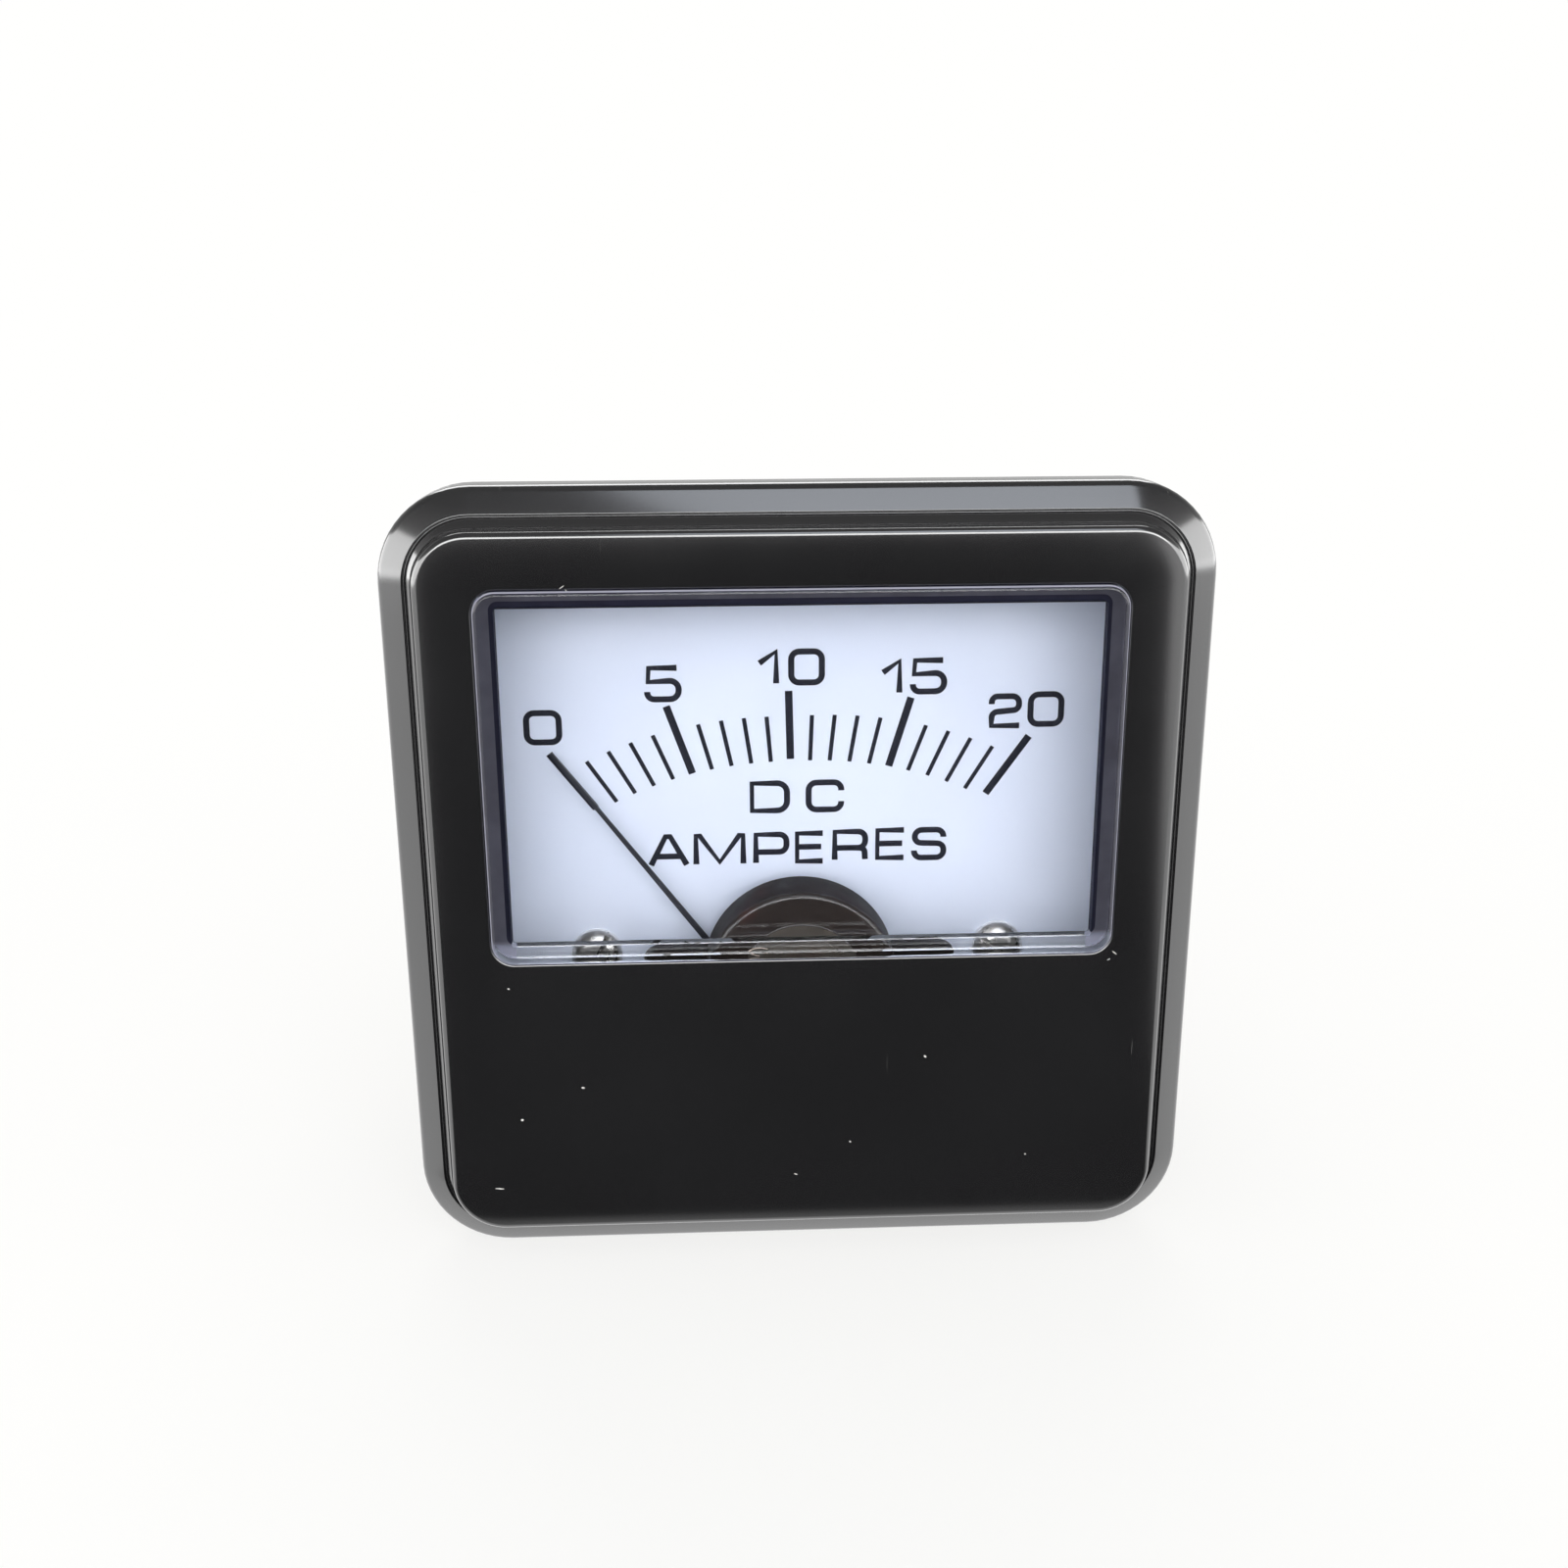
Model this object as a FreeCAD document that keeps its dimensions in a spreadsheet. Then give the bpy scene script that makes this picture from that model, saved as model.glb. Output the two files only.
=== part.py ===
import FreeCAD, Part
import math
import os
import re
import Sketcher

# Square panel ammeter, millimetres. X right, Z up, Y backwards through the panel.
# The origin is the barrel's axis at the panel's front face, where the square tray seats.

SIZES = {
    # Bezel, a drawn sheet cover with a stepped rim
    "bezel_width": 57.0,
    "bezel_corner": 6.5,
    "bezel_sheet": 0.8,
    "face_depth": 11.2,
    "rim_depth": 8.35,
    "rim_round": 0.8,
    "hem_depth": 5.8,
    "hem_width": 1.65,
    "ledge_width": 1.8,
    "ledge_rise": 0.95,
    "groove_width": 0.25,
    "groove_sink": 0.2,
    "step_width": 0.7,
    "cove_in": 0.45,
    "cove_rise": 0.6,
    "face_bevel": 0.3,
    "plate_inset": 4.5,
    # Window opening and the clear window
    "window_side": 6.55,
    "window_height": 26.6,
    "window_round": 1.6,
    "window_middle": 8.7,
    "window_gap": 0.06,
    "window_proud": 0.3,
    "window_plate": 1.6,
    "window_wall": 1.3,
    "window_back": 0.9,
    "window_flange": 1.6,
    "flange_plate": 1.0,
    # Rear case, one moulding: square tray, flange and round barrel
    "case_gap": 0.25,
    "case_flange": 1.0,
    "tray_step": 0.85,
    "tray_wall": 1.6,
    "tray_floor": 1.6,
    "barrel_inset": 4.9,
    "barrel_wall": 1.6,
    "barrel_length": 26.0,
    "barrel_floor": 2.0,
    "barrel_chamfer": 0.8,
    # Dial plate
    "dial_sheet": 0.5,
    "dial_side_gap": 0.8,
    "dial_top": 22.4,
    "dial_bottom": 11.0,
    "dial_corner": 2.0,
    "dial_notch": 6.6,
    "dial_screw_side": 15.2,
    "dial_screw_drop": 7.3,
    # Movement frame
    "frame_front": 1.0,
    "frame_sheet": 1.4,
    "frame_arm": 20.6,
    "frame_arm_top": 1.6,
    "frame_arm_bottom": 3.6,
    "frame_wing": 17.0,
    "frame_wing_bottom": 12.4,
    "frame_foot": 8.0,
    "frame_foot_bottom": 20.0,
    "frame_bore": 5.0,
    "frame_screw_side": 19.4,
    "frame_screw_drop": 1.0,
    "pillar_radius": 2.8,
    "post_half": 1.8,
    # Cheese-head screws of the movement
    "screw_shank": 0.9,
    "screw_gap": 0.1,
    "screw_length": 4.5,
    "screw_head": 1.9,
    "screw_rise": 1.1,
    "slot_width": 0.4,
    "slot_sink": 0.5,
    # Front bridge, a dark moulding with a round head
    "bridge_back": 4.1,
    "bridge_sheet": 1.6,
    "bridge_half": 11.6,
    "bridge_top": 5.8,
    "bridge_bottom": 18.2,
    "bridge_round": 1.2,
    "bridge_screw_side": 9.5,
    "bridge_screw_drop": 13.6,
    "head_radius": 7.1,
    "head_drop": 7.8,
    "head_rise": 3.8,
    "head_bevel": 0.5,
    "boss_radius": 5.2,
    "boss_rise": 0.8,
    "jewel_boss": 2.6,
    "jewel_boss_rise": 2.5,
    # Pivot, jewels and the turning pieces
    "pivot_drop": 15.2,
    "rest_angle": 36.8,
    "jewel_radius": 1.2,
    "jewel_length": 2.6,
    "jewel_reach": 0.4,
    "cup_radius": 0.6,
    "cup_depth": 0.7,
    "staff_radius": 0.45,
    "staff_tip": 0.9,
    "tip_gap": 0.08,
    "pointer_depth": 3.4,
    "pointer_sheet": 0.2,
    "pointer_length": 29.9,
    "pointer_root": 0.28,
    "pointer_end": 0.12,
    "hub_radius": 1.3,
    "hub_length": 1.0,
    "tail_length": 7.2,
    "side_length": 4.9,
    "arm_width": 0.5,
    "arm_sheet": 0.3,
    "weight_half": 0.5,
    "weight_length": 1.3,
    "weight_gap": 0.02,
    "stop_orbit": 5.95,
    "stop_radius": 0.4,
    "stop_low_angle": 50.0,
    "stop_high_angle": 49.0,
    "stop_reach": 0.4,
    # Coil, core and magnet
    "core_radius": 3.4,
    "core_inset": 0.4,
    "core_length": 9.4,
    "coil_gap": 0.35,
    "coil_width": 2.2,
    "former_wall": 0.25,
    "winding_wall": 0.6,
    "bore_gap": 0.35,
    "pole_length": 8.6,
    "pole_inner": 9.0,
    "pole_outer": 13.5,
    "pole_top": 1.0,
    "pole_waist": 3.6,
    "pole_corner": 3.5,
    "horn_inner": 3.4,
    "magnet_height": 8.0,
    "holder_width": 2.2,
    "holder_bar": 1.4,
    "holder_length": 6.0,
    # Hairsprings
    "spring_pitch": 0.8,
    "spring_start": 1.0,
    "spring_strip": 0.14,
    "spring_height": 0.5,
    "spring_front": 0.9,
    "spring_rear": 13.6,
    "collet_gap": 0.07,
    # Rear bridge
    "rear_bridge_gap": 4.6,
    "rear_bridge_sheet": 1.4,
    "rear_bridge_half": 10.0,
    "rear_bridge_width": 5.6,
    "rear_leg_side": 8.3,
    "rear_leg_radius": 1.5,
    # Terminals, shunt and leads
    "stud_side": 12.0,
    "stud_radius": 2.5,
    "stud_gap": 0.1,
    "stud_length": 44.0,
    "stud_head": 3.4,
    "stud_head_rise": 2.0,
    "shunt_sheet": 0.8,
    "shunt_width": 6.0,
    "shunt_end": 4.0,
    "shunt_pad": 8.0,
    "shunt_arch": 6.0,
    "shunt_rise": 2.5,
    "lead_width": 0.7,
    "lead_sheet": 0.2,
    "lead_bend": 1.0,
    "lead_turn_side": 5.6,
    "lead_end_rise": 1.0,
    "lead_joint": 0.25,
    "nut_flats": 8.0,
    "nut_height": 3.5,
    "thread_gap": 0.05,
    "washer_radius": 4.8,
    "washer_sheet": 0.8,
    "lock_radius": 4.3,
    "lock_sheet": 1.2,
    "lock_slot": 1.0,
    "insulator_half": 4.9,
    "insulator_sheet": 0.8,
    "insulator_neck": 3.4,
    "lug_room": 1.2,
    # Mounting bracket, a bent strap
    "strap_sheet": 1.2,
    "strap_width": 10.0,
    "strap_gap": 0.8,
    "strap_foot": 2.6,
    "strap_bend": 1.0,
    "panel_sheet": 3.0,
    "strap_hole_gap": 0.1,
}

SPRING_HALF_TURNS = 4
LAST_UPPER_TURN = (SPRING_HALF_TURNS - 2) / 2 - 1 / 4
WORD = re.compile(r"[a-z_]+")
FRONT_TO_BACK = FreeCAD.Rotation(FreeCAD.Vector(1, 0, 0), -90)

doc = FreeCAD.newDocument("PanelAmmeter")
sheet = doc.addObject("Spreadsheet::Sheet", "Sizes")


def fill_sheet():
    """One named cell for each driving size."""
    for row, (name, size) in enumerate(SIZES.items(), 1):
        sheet.set("A%d" % row, name)
        sheet.set("B%d" % row, str(size))
        sheet.setAlias("B%d" % row, name)
    doc.recompute()


def bound(text):
    """The same formula with each size pointed at its cell."""
    return WORD.sub(lambda found: "Sizes." + found[0] if found[0] in SIZES else found[0], text)


def tie(thing, prop, text):
    thing.setExpression(prop, bound(text))


def number(text):
    return float(sheet.evalExpression(text))


# Sketches and body features

def new_body(label):
    made = doc.addObject("PartDesign::Body", label)
    made.Label = label
    return made


def origin_plane(body, role):
    return next(item for item in body.Origin.OriginFeatures if item.Role == role)


def new_sketch(body, name, role, out="0", up="0"):
    """A sketch on one of the body's own planes, moved out along its normal and up in it."""
    sketch = body.newObject("Sketcher::SketchObject", body.Label + "_" + name)
    sketch.AttachmentSupport = [(origin_plane(body, role), "")]
    sketch.MapMode = "FlatFace"
    tie(sketch, "AttachmentOffset.Base.z", out)
    tie(sketch, "AttachmentOffset.Base.y", up)
    return sketch


def hold(sketch, kind, *target, size):
    """A dimension in the sketch, tied to its formula."""
    index = sketch.addConstraint(Sketcher.Constraint(kind, *target, number(size)))
    tie(sketch, "Constraints[%d]" % index, size)


def place(sketch, geometry, point, u, v):
    """Both distances from the sketch's origin."""
    hold(sketch, "DistanceX", -1, 1, geometry, point, size=u)
    hold(sketch, "DistanceY", -1, 1, geometry, point, size=v)


def corner_cut(here, before, after, radius):
    """Where a rounding of this corner starts, passes and ends."""
    back = (before - here).normalize()
    ahead = (after - here).normalize()
    half = back.getAngle(ahead) / 2
    reach = radius / math.tan(half)
    middle = here + (back + ahead).normalize() * (radius / math.sin(half) - radius)
    return here + back * reach, middle, here + ahead * reach


def outline(sketch, corners):
    """A closed outline. A corner is (u, v), or (u, v, radius) where it is rounded."""
    count = len(corners)
    spots = [FreeCAD.Vector(number(corner[0]), number(corner[1]), 0) for corner in corners]
    cuts = []
    for index, corner in enumerate(corners):
        here = spots[index]
        if len(corner) == 2:
            cuts.append((here, None, here))
        else:
            after = spots[(index + 1) % count]
            cuts.append(corner_cut(here, spots[index - 1], after, number(corner[2])))
    sides = []
    for index in range(count):
        line = Part.LineSegment(cuts[index][2], cuts[(index + 1) % count][0])
        sides.append(sketch.addGeometry(line, False))
    for index, corner in enumerate(corners):
        before, after = sides[index - 1], sides[index]
        if len(corner) == 2:
            sketch.addConstraint(Sketcher.Constraint("Coincident", before, 2, after, 1))
            place(sketch, after, 1, corner[0], corner[1])
            continue
        start, middle, _ = cuts[index]
        arc = sketch.addGeometry(Part.Arc(*cuts[index]), False)
        first = 1 if sketch.getPoint(arc, 1).distanceToPoint(start) < 1e-6 else 2
        sketch.addConstraint(Sketcher.Constraint("Tangent", before, 2, arc, first))
        sketch.addConstraint(Sketcher.Constraint("Tangent", after, 1, arc, 3 - first))
        hold(sketch, "Radius", arc, size=corner[2])
        apex = sketch.addGeometry(Part.Point(spots[index]), True)
        place(sketch, apex, 1, corner[0], corner[1])
        sketch.addConstraint(Sketcher.Constraint("PointOnObject", apex, 1, before))
        sketch.addConstraint(Sketcher.Constraint("PointOnObject", apex, 1, after))


def rounded_box(sketch, half_u, half_v, radius, middle="0"):
    """A rounded rectangle about (0, middle)."""
    low = "%s - (%s)" % (middle, half_v)
    high = "%s + (%s)" % (middle, half_v)
    left = "-(%s)" % half_u
    right = half_u
    outline(sketch, [(right, low, radius), (right, high, radius), (left, high, radius), (left, low, radius)])


def square(sketch, u, v, half):
    """A square outline about (u, v)."""
    right, left = "%s + %s" % (u, half), "%s - %s" % (u, half)
    high, low = "%s + %s" % (v, half), "%s - %s" % (v, half)
    outline(sketch, [(right, low), (right, high), (left, high), (left, low)])


def circle(sketch, u, v, radius):
    ring = sketch.addGeometry(Part.Circle(FreeCAD.Vector(number(u), number(v), 0),
                                          FreeCAD.Vector(0, 0, 1), number(radius)), False)
    place(sketch, ring, 3, u, v)
    hold(sketch, "Radius", ring, size=radius)


def pad(body, name, front, back, *shapes):
    """A slab from depth front to depth back, with the given sketch shapes."""
    sketch = new_sketch(body, name + "_outline", "XZ_Plane", out="-(%s)" % back)
    for draw, values in shapes:
        draw(sketch, *values)
    made = body.newObject("PartDesign::Pad", body.Label + "_" + name)
    made.Profile = sketch
    tie(made, "Length", "(%s) - (%s)" % (back, front))
    return made


def pocket(body, name, front, back, *shapes):
    """A recess cut backwards from depth front to depth back."""
    sketch = new_sketch(body, name + "_outline", "XZ_Plane", out="-(%s)" % front)
    for draw, values in shapes:
        draw(sketch, *values)
    made = body.newObject("PartDesign::Pocket", body.Label + "_" + name)
    made.Profile = sketch
    tie(made, "Length", "(%s) - (%s)" % (back, front))
    return made


def bar_pad(body, name, role, half, corners):
    """A pad both ways from an origin plane, as wide as twice half."""
    sketch = new_sketch(body, name + "_outline", role)
    outline(sketch, corners)
    made = body.newObject("PartDesign::Pad", body.Label + "_" + name)
    made.Profile = sketch
    made.Midplane = True
    tie(made, "Length", "2 * (%s)" % half)
    return made


def turn(body, name, corners, up="0"):
    """A revolved form. Corners are (depth, radius) about a line parallel to Y at height up."""
    sketch = new_sketch(body, name + "_profile", "YZ_Plane", up=up)
    outline(sketch, corners)
    made = body.newObject("PartDesign::Revolution", body.Label + "_" + name)
    made.Profile = sketch
    made.ReferenceAxis = (sketch, ["H_Axis"])
    made.Angle = 360
    return made


# Part primitives, for groups of like solids

def rod(name, x, z, front, back, radius):
    """A cylinder along Y."""
    made = doc.addObject("Part::Cylinder", name)
    made.Placement = FreeCAD.Placement(FreeCAD.Vector(), FRONT_TO_BACK)
    tie(made, "Radius", radius)
    tie(made, "Height", "(%s) - (%s)" % (back, front))
    tie(made, "Placement.Base.x", x)
    tie(made, "Placement.Base.y", front)
    tie(made, "Placement.Base.z", z)
    return made


def hexagon(name, x, z, front, back, flats):
    """A six-sided bar along Y."""
    made = doc.addObject("Part::Prism", name)
    made.Polygon = 6
    made.Placement = FreeCAD.Placement(FreeCAD.Vector(), FRONT_TO_BACK)
    tie(made, "Circumradius", "(%s) / 2 / cos(30)" % flats)
    tie(made, "Height", "(%s) - (%s)" % (back, front))
    tie(made, "Placement.Base.x", x)
    tie(made, "Placement.Base.y", front)
    tie(made, "Placement.Base.z", z)
    return made


def block(name, x, y, z):
    """A box. Each of x, y and z is a (low, high) pair."""
    made = doc.addObject("Part::Box", name)
    for prop, letter, (low, high) in (("Length", "x", x), ("Width", "y", y), ("Height", "z", z)):
        tie(made, prop, "(%s) - (%s)" % (high, low))
        tie(made, "Placement.Base." + letter, low)
    return made


def join(name, *shapes):
    made = doc.addObject("Part::MultiFuse", name)
    made.Shapes = list(shapes)
    return made


def cut(name, base, tool):
    made = doc.addObject("Part::Cut", name)
    made.Base = base
    made.Tool = tool
    return made


def group(label, *shapes):
    """Separate solids that share one node."""
    made = doc.addObject("Part::Compound", label)
    made.Links = list(shapes)
    made.Label = label
    return made


def mirrored_pair(label, source):
    """The source and its mirror image across the middle of the meter."""
    other = doc.addObject("Part::Mirroring", label + "_left")
    other.Source = source
    other.Normal = FreeCAD.Vector(1, 0, 0)
    return group(label, source, other)


def on_pivot(thing):
    """Turns a piece drawn for an upright pointer to its place at rest."""
    thing.Placement = FreeCAD.Placement(FreeCAD.Vector(), FreeCAD.Rotation(FreeCAD.Vector(0, 1, 0), -1))
    tie(thing, "Placement.Base.z", "-pivot_drop")
    tie(thing, "Placement.Rotation.Angle", "-rest_angle")
    return thing


# Shared places, worked out from the sizes

HALF = "bezel_width / 2"
PLATE_REACH = HALF + " - plate_inset"
WINDOW_HALF = HALF + " - window_side"
BARREL_OUTER = HALF + " - barrel_inset"
PLATE_BACK = "bezel_sheet - face_depth"
FLANGE_BACK = "-(hem_depth + bezel_sheet)"
CASE_FRONT = FLANGE_BACK + " - case_flange"
FLANGE_HALF = HALF + " - bezel_sheet - case_gap"
TRAY_HALF = FLANGE_HALF + " - tray_step"
TRAY_INNER = TRAY_HALF + " - tray_wall"
BARREL_INNER = BARREL_OUTER + " - barrel_wall"
CASE_FLOOR = "barrel_length - barrel_floor"
DIAL_BACK = "-tray_floor"
DIAL_FRONT = "-tray_floor - dial_sheet"
FRAME_BACK = "frame_front + frame_sheet"
BRIDGE_FRONT = "-bridge_back - bridge_sheet"
POLE_BACK = FRAME_BACK + " + pole_length"
POLE_MIDDLE = "(" + FRAME_BACK + " + pole_length / 2)"
CORE_FRONT = POLE_MIDDLE + " - core_length / 2"
CORE_BACK = POLE_MIDDLE + " + core_length / 2"
LOOP_FRONT = CORE_FRONT + " - core_inset"
LOOP_BACK = CORE_BACK + " + core_inset"
LOOP_HALF = "core_radius + coil_gap"
FORMER_HALF = LOOP_HALF + " + former_wall"
COIL_HALF = FORMER_HALF + " + winding_wall"
COIL_FRONT = LOOP_FRONT + " - former_wall - winding_wall"
COIL_BACK = LOOP_BACK + " + former_wall + winding_wall"
POLE_BORE = "sqrt((" + COIL_HALF + ")^2 + (coil_width / 2)^2) + bore_gap"
REAR_BRIDGE = POLE_BACK + " + rear_bridge_gap"
SCREW_HOLE = "screw_shank + screw_gap"
STUD_HOLE = "stud_radius + stud_gap"
SHUNT_HALF = "stud_side + shunt_end"
SHUNT_FRONT = CASE_FLOOR + " - shunt_sheet"
STRAP_FRONT = "barrel_length + nut_height + insulator_sheet"
STRAP_BACK = STRAP_FRONT + " + strap_sheet"


# The front

def make_bezel():
    """A sheet cover: a stepped rim swept round a rounded square, and a face with the window."""
    body = new_body("bezel")
    path = new_sketch(body, "path", "XZ_Plane")
    rounded_box(path, HALF, HALF, "bezel_corner")
    rim = new_sketch(body, "rim", "XY_Plane")
    ledge = HALF + " - ledge_width"
    groove = ledge + " - groove_width"
    step = groove + " - step_width"
    ledge_top = "-(rim_depth + ledge_rise)"
    inner = step + " - bezel_sheet"
    outline(rim, [
        (HALF + " - hem_width", "-hem_depth"),
        (HALF, "-hem_depth"),
        (HALF, "-rim_depth", "rim_round"),
        (ledge, ledge_top),
        (ledge + " - groove_width / 2", ledge_top + " + groove_sink"),
        (groove, ledge_top),
        (groove + " - cove_in", ledge_top + " - cove_rise"),
        (step, "-face_depth + face_bevel"),
        (step + " - face_bevel", "-face_depth"),
        (PLATE_REACH, "-face_depth"),
        (PLATE_REACH, PLATE_BACK),
        (inner, PLATE_BACK),
        (groove + " - cove_in - bezel_sheet", ledge_top + " + bezel_sheet"),
        (HALF + " - bezel_sheet", "-(rim_depth - bezel_sheet)"),
        (HALF + " - bezel_sheet", FLANGE_BACK),
        (HALF + " - hem_width", FLANGE_BACK),
    ])
    doc.recompute()
    sweep = body.newObject("PartDesign::AdditivePipe", "bezel_rim_sweep")
    sweep.Profile = rim
    sweep.Spine = (path, ["Edge%d" % edge for edge in range(1, 9)])
    plate = PLATE_REACH + " + bezel_sheet / 2"
    plate_corner = "bezel_corner - (%s) + %s" % (HALF, plate)
    pad(body, "face", "-face_depth", PLATE_BACK,
        (rounded_box, (plate, plate, plate_corner)),
        (rounded_box, (WINDOW_HALF, "window_height / 2", "window_round", "window_middle")))
    return body


def make_window():
    """A clear tray: a proud front plate, a short wall behind it and a flange."""
    body = new_body("window")
    half_u = WINDOW_HALF + " - window_gap"
    half_v = "window_height / 2 - window_gap"
    radius = "window_round - window_gap"
    front = "-(face_depth + window_proud)"
    inside = front + " + window_plate"
    back = inside + " + window_back"
    pad(body, "plate", front, back, (rounded_box, (half_u, half_v, radius, "window_middle")))
    wide = half_u + " + window_flange"
    tall = half_v + " + window_flange"
    pad(body, "flange", PLATE_BACK, PLATE_BACK + " + flange_plate",
        (rounded_box, (wide, tall, radius, "window_middle")))
    pocket(body, "inside", inside, back,
           (rounded_box, (half_u + " - window_wall", half_v + " - window_wall",
                          "window_round / 3", "window_middle")))
    return body


def make_rear_case():
    """One moulding: flange and square tray in front of the panel, round barrel behind it."""
    body = new_body("rear_case")
    tray_corner = "bezel_corner - (%s) + %s" % (HALF, TRAY_HALF)
    flange_corner = "bezel_corner - (%s) + %s" % (HALF, FLANGE_HALF)
    inner_corner = "bezel_corner - (%s) + %s" % (HALF, TRAY_INNER)
    pad(body, "tray", CASE_FRONT, "0", (rounded_box, (TRAY_HALF, TRAY_HALF, tray_corner)))
    pad(body, "flange", CASE_FRONT, FLANGE_BACK, (rounded_box, (FLANGE_HALF, FLANGE_HALF, flange_corner)))
    turn(body, "barrel", [("-tray_floor", "0"), ("barrel_length", "0"),
                          ("barrel_length", BARREL_OUTER + " - barrel_chamfer"),
                          ("barrel_length - barrel_chamfer", BARREL_OUTER), ("-tray_floor", BARREL_OUTER)])
    pocket(body, "tray_room", CASE_FRONT, "-tray_floor",
           (rounded_box, (TRAY_INNER, TRAY_INNER, inner_corner)))
    pocket(body, "barrel_room", "-tray_floor", CASE_FLOOR, (circle, ("0", "0", BARREL_INNER)))
    pad(body, "pillars", FRAME_BACK, CASE_FLOOR + " + barrel_floor / 2",
        (circle, ("frame_screw_side", "-frame_screw_drop", "pillar_radius")),
        (circle, ("-frame_screw_side", "-frame_screw_drop", "pillar_radius")))
    pocket(body, "pillar_holes", FRAME_BACK, FRAME_BACK + " + screw_length",
           (circle, ("frame_screw_side", "-frame_screw_drop", SCREW_HOLE)),
           (circle, ("-frame_screw_side", "-frame_screw_drop", SCREW_HOLE)))
    pocket(body, "stud_holes", CASE_FLOOR, "barrel_length",
           (circle, ("stud_side", "0", STUD_HOLE)), (circle, ("-stud_side", "0", STUD_HOLE)))
    return body


def make_dial_plate():
    """Thin sheet behind the window, notched round the pivot."""
    body = new_body("dial_plate")
    half = TRAY_INNER + " - dial_side_gap"
    pad(body, "sheet", DIAL_FRONT, DIAL_BACK,
        (outline, ([(half, "-dial_bottom", "dial_corner / 2"), (half, "dial_top", "dial_corner"),
                    ("-(%s)" % half, "dial_top", "dial_corner"),
                    ("-(%s)" % half, "-dial_bottom", "dial_corner / 2")],)))
    pocket(body, "notch", DIAL_FRONT, DIAL_BACK, (circle, ("0", "-pivot_drop", "dial_notch")))
    pocket(body, "holes", DIAL_FRONT, DIAL_BACK,
           (circle, ("dial_screw_side", "-dial_screw_drop", SCREW_HOLE)),
           (circle, ("-dial_screw_side", "-dial_screw_drop", SCREW_HOLE)))
    return body


def slotted_screw(label, x, drop, seat, length="screw_length"):
    """A slotted cheese-head screw whose head seats at the given depth."""
    body = new_body(label + "_right")
    turn(body, "blank", [(seat + " + " + length, "0"), (seat + " + " + length, "screw_shank"),
                         (seat, "screw_shank"), (seat, "screw_head"),
                         (seat + " - screw_rise", "screw_head"), (seat + " - screw_rise", "0")])
    pocket(body, "slot", seat + " - screw_rise", seat + " - screw_rise + slot_sink",
           (outline, ([("-screw_head * 2", "-slot_width / 2"), ("screw_head * 2", "-slot_width / 2"),
                       ("screw_head * 2", "slot_width / 2"), ("-screw_head * 2", "slot_width / 2")],)))
    tie(body, "Placement.Base.x", x)
    tie(body, "Placement.Base.z", "-(%s)" % drop)
    return mirrored_pair(label, body)


# The movement's fixed pieces

def make_movement_frame():
    """Cast plate across the barrel with posts for the dial and the front bridge."""
    body = new_body("movement_frame")
    right = [("frame_foot", "-frame_foot_bottom"), ("frame_foot", "-frame_wing_bottom"),
             ("frame_wing", "-frame_wing_bottom"), ("frame_wing", "-frame_arm_bottom"),
             ("frame_arm", "-frame_arm_bottom"), ("frame_arm", "frame_arm_top")]
    left = [("-" + u, v) for u, v in reversed(right)]
    pad(body, "plate", "frame_front", FRAME_BACK, (outline, (right + left,)))
    pad(body, "dial_posts", DIAL_BACK, "frame_front",
        (square, ("dial_screw_side", "-dial_screw_drop", "post_half")),
        (square, ("-dial_screw_side", "-dial_screw_drop", "post_half")))
    pad(body, "bridge_posts", "-bridge_back", "frame_front",
        (square, ("bridge_screw_side", "-bridge_screw_drop", "post_half")),
        (square, ("-bridge_screw_side", "-bridge_screw_drop", "post_half")))
    pocket(body, "bore", "frame_front", FRAME_BACK, (circle, ("0", "-pivot_drop", "frame_bore")))
    holes = (("dial", DIAL_BACK, "dial_screw_side", "dial_screw_drop"),
             ("bridge", "-bridge_back", "bridge_screw_side", "bridge_screw_drop"),
             ("frame", "frame_front", "frame_screw_side", "frame_screw_drop"))
    for name, front, side, drop in holes:
        pocket(body, name + "_holes", front, FRAME_BACK,
               (circle, (side, "-" + drop, SCREW_HOLE)), (circle, ("-" + side, "-" + drop, SCREW_HOLE)))
    return body


def make_front_bridge():
    """Dark moulding: cross bar on two posts, round head with a low boss, jewel boss."""
    body = new_body("front_bridge")
    pad(body, "bar", BRIDGE_FRONT, "-bridge_back",
        (outline, ([("bridge_half", "-bridge_bottom", "bridge_round"),
                    ("bridge_half", "-bridge_top", "bridge_round"),
                    ("-bridge_half", "-bridge_top", "bridge_round"),
                    ("-bridge_half", "-bridge_bottom", "bridge_round")],)))
    front = "-bridge_back - head_rise"
    turn(body, "head", [("-bridge_back", "0"), ("-bridge_back", "head_radius"),
                        (front + " + head_bevel", "head_radius"), (front, "head_radius - head_bevel"),
                        (front, "boss_radius"), (front + " - boss_rise", "boss_radius - boss_rise"),
                        (front + " - boss_rise", "0")], up="-head_drop")
    turn(body, "jewel_boss", [("-bridge_back", "0"), ("-bridge_back", "jewel_boss"),
                              ("-bridge_back - jewel_boss_rise", "jewel_boss"),
                              ("-bridge_back - jewel_boss_rise", "0")], up="-pivot_drop")
    pocket(body, "jewel_hole", "-bridge_back - head_rise - boss_rise", "-bridge_back",
           (circle, ("0", "-pivot_drop", "jewel_radius")))
    pocket(body, "holes", BRIDGE_FRONT, "-bridge_back",
           (circle, ("bridge_screw_side", "-bridge_screw_drop", SCREW_HOLE)),
           (circle, ("-bridge_screw_side", "-bridge_screw_drop", SCREW_HOLE)))
    return body


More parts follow.
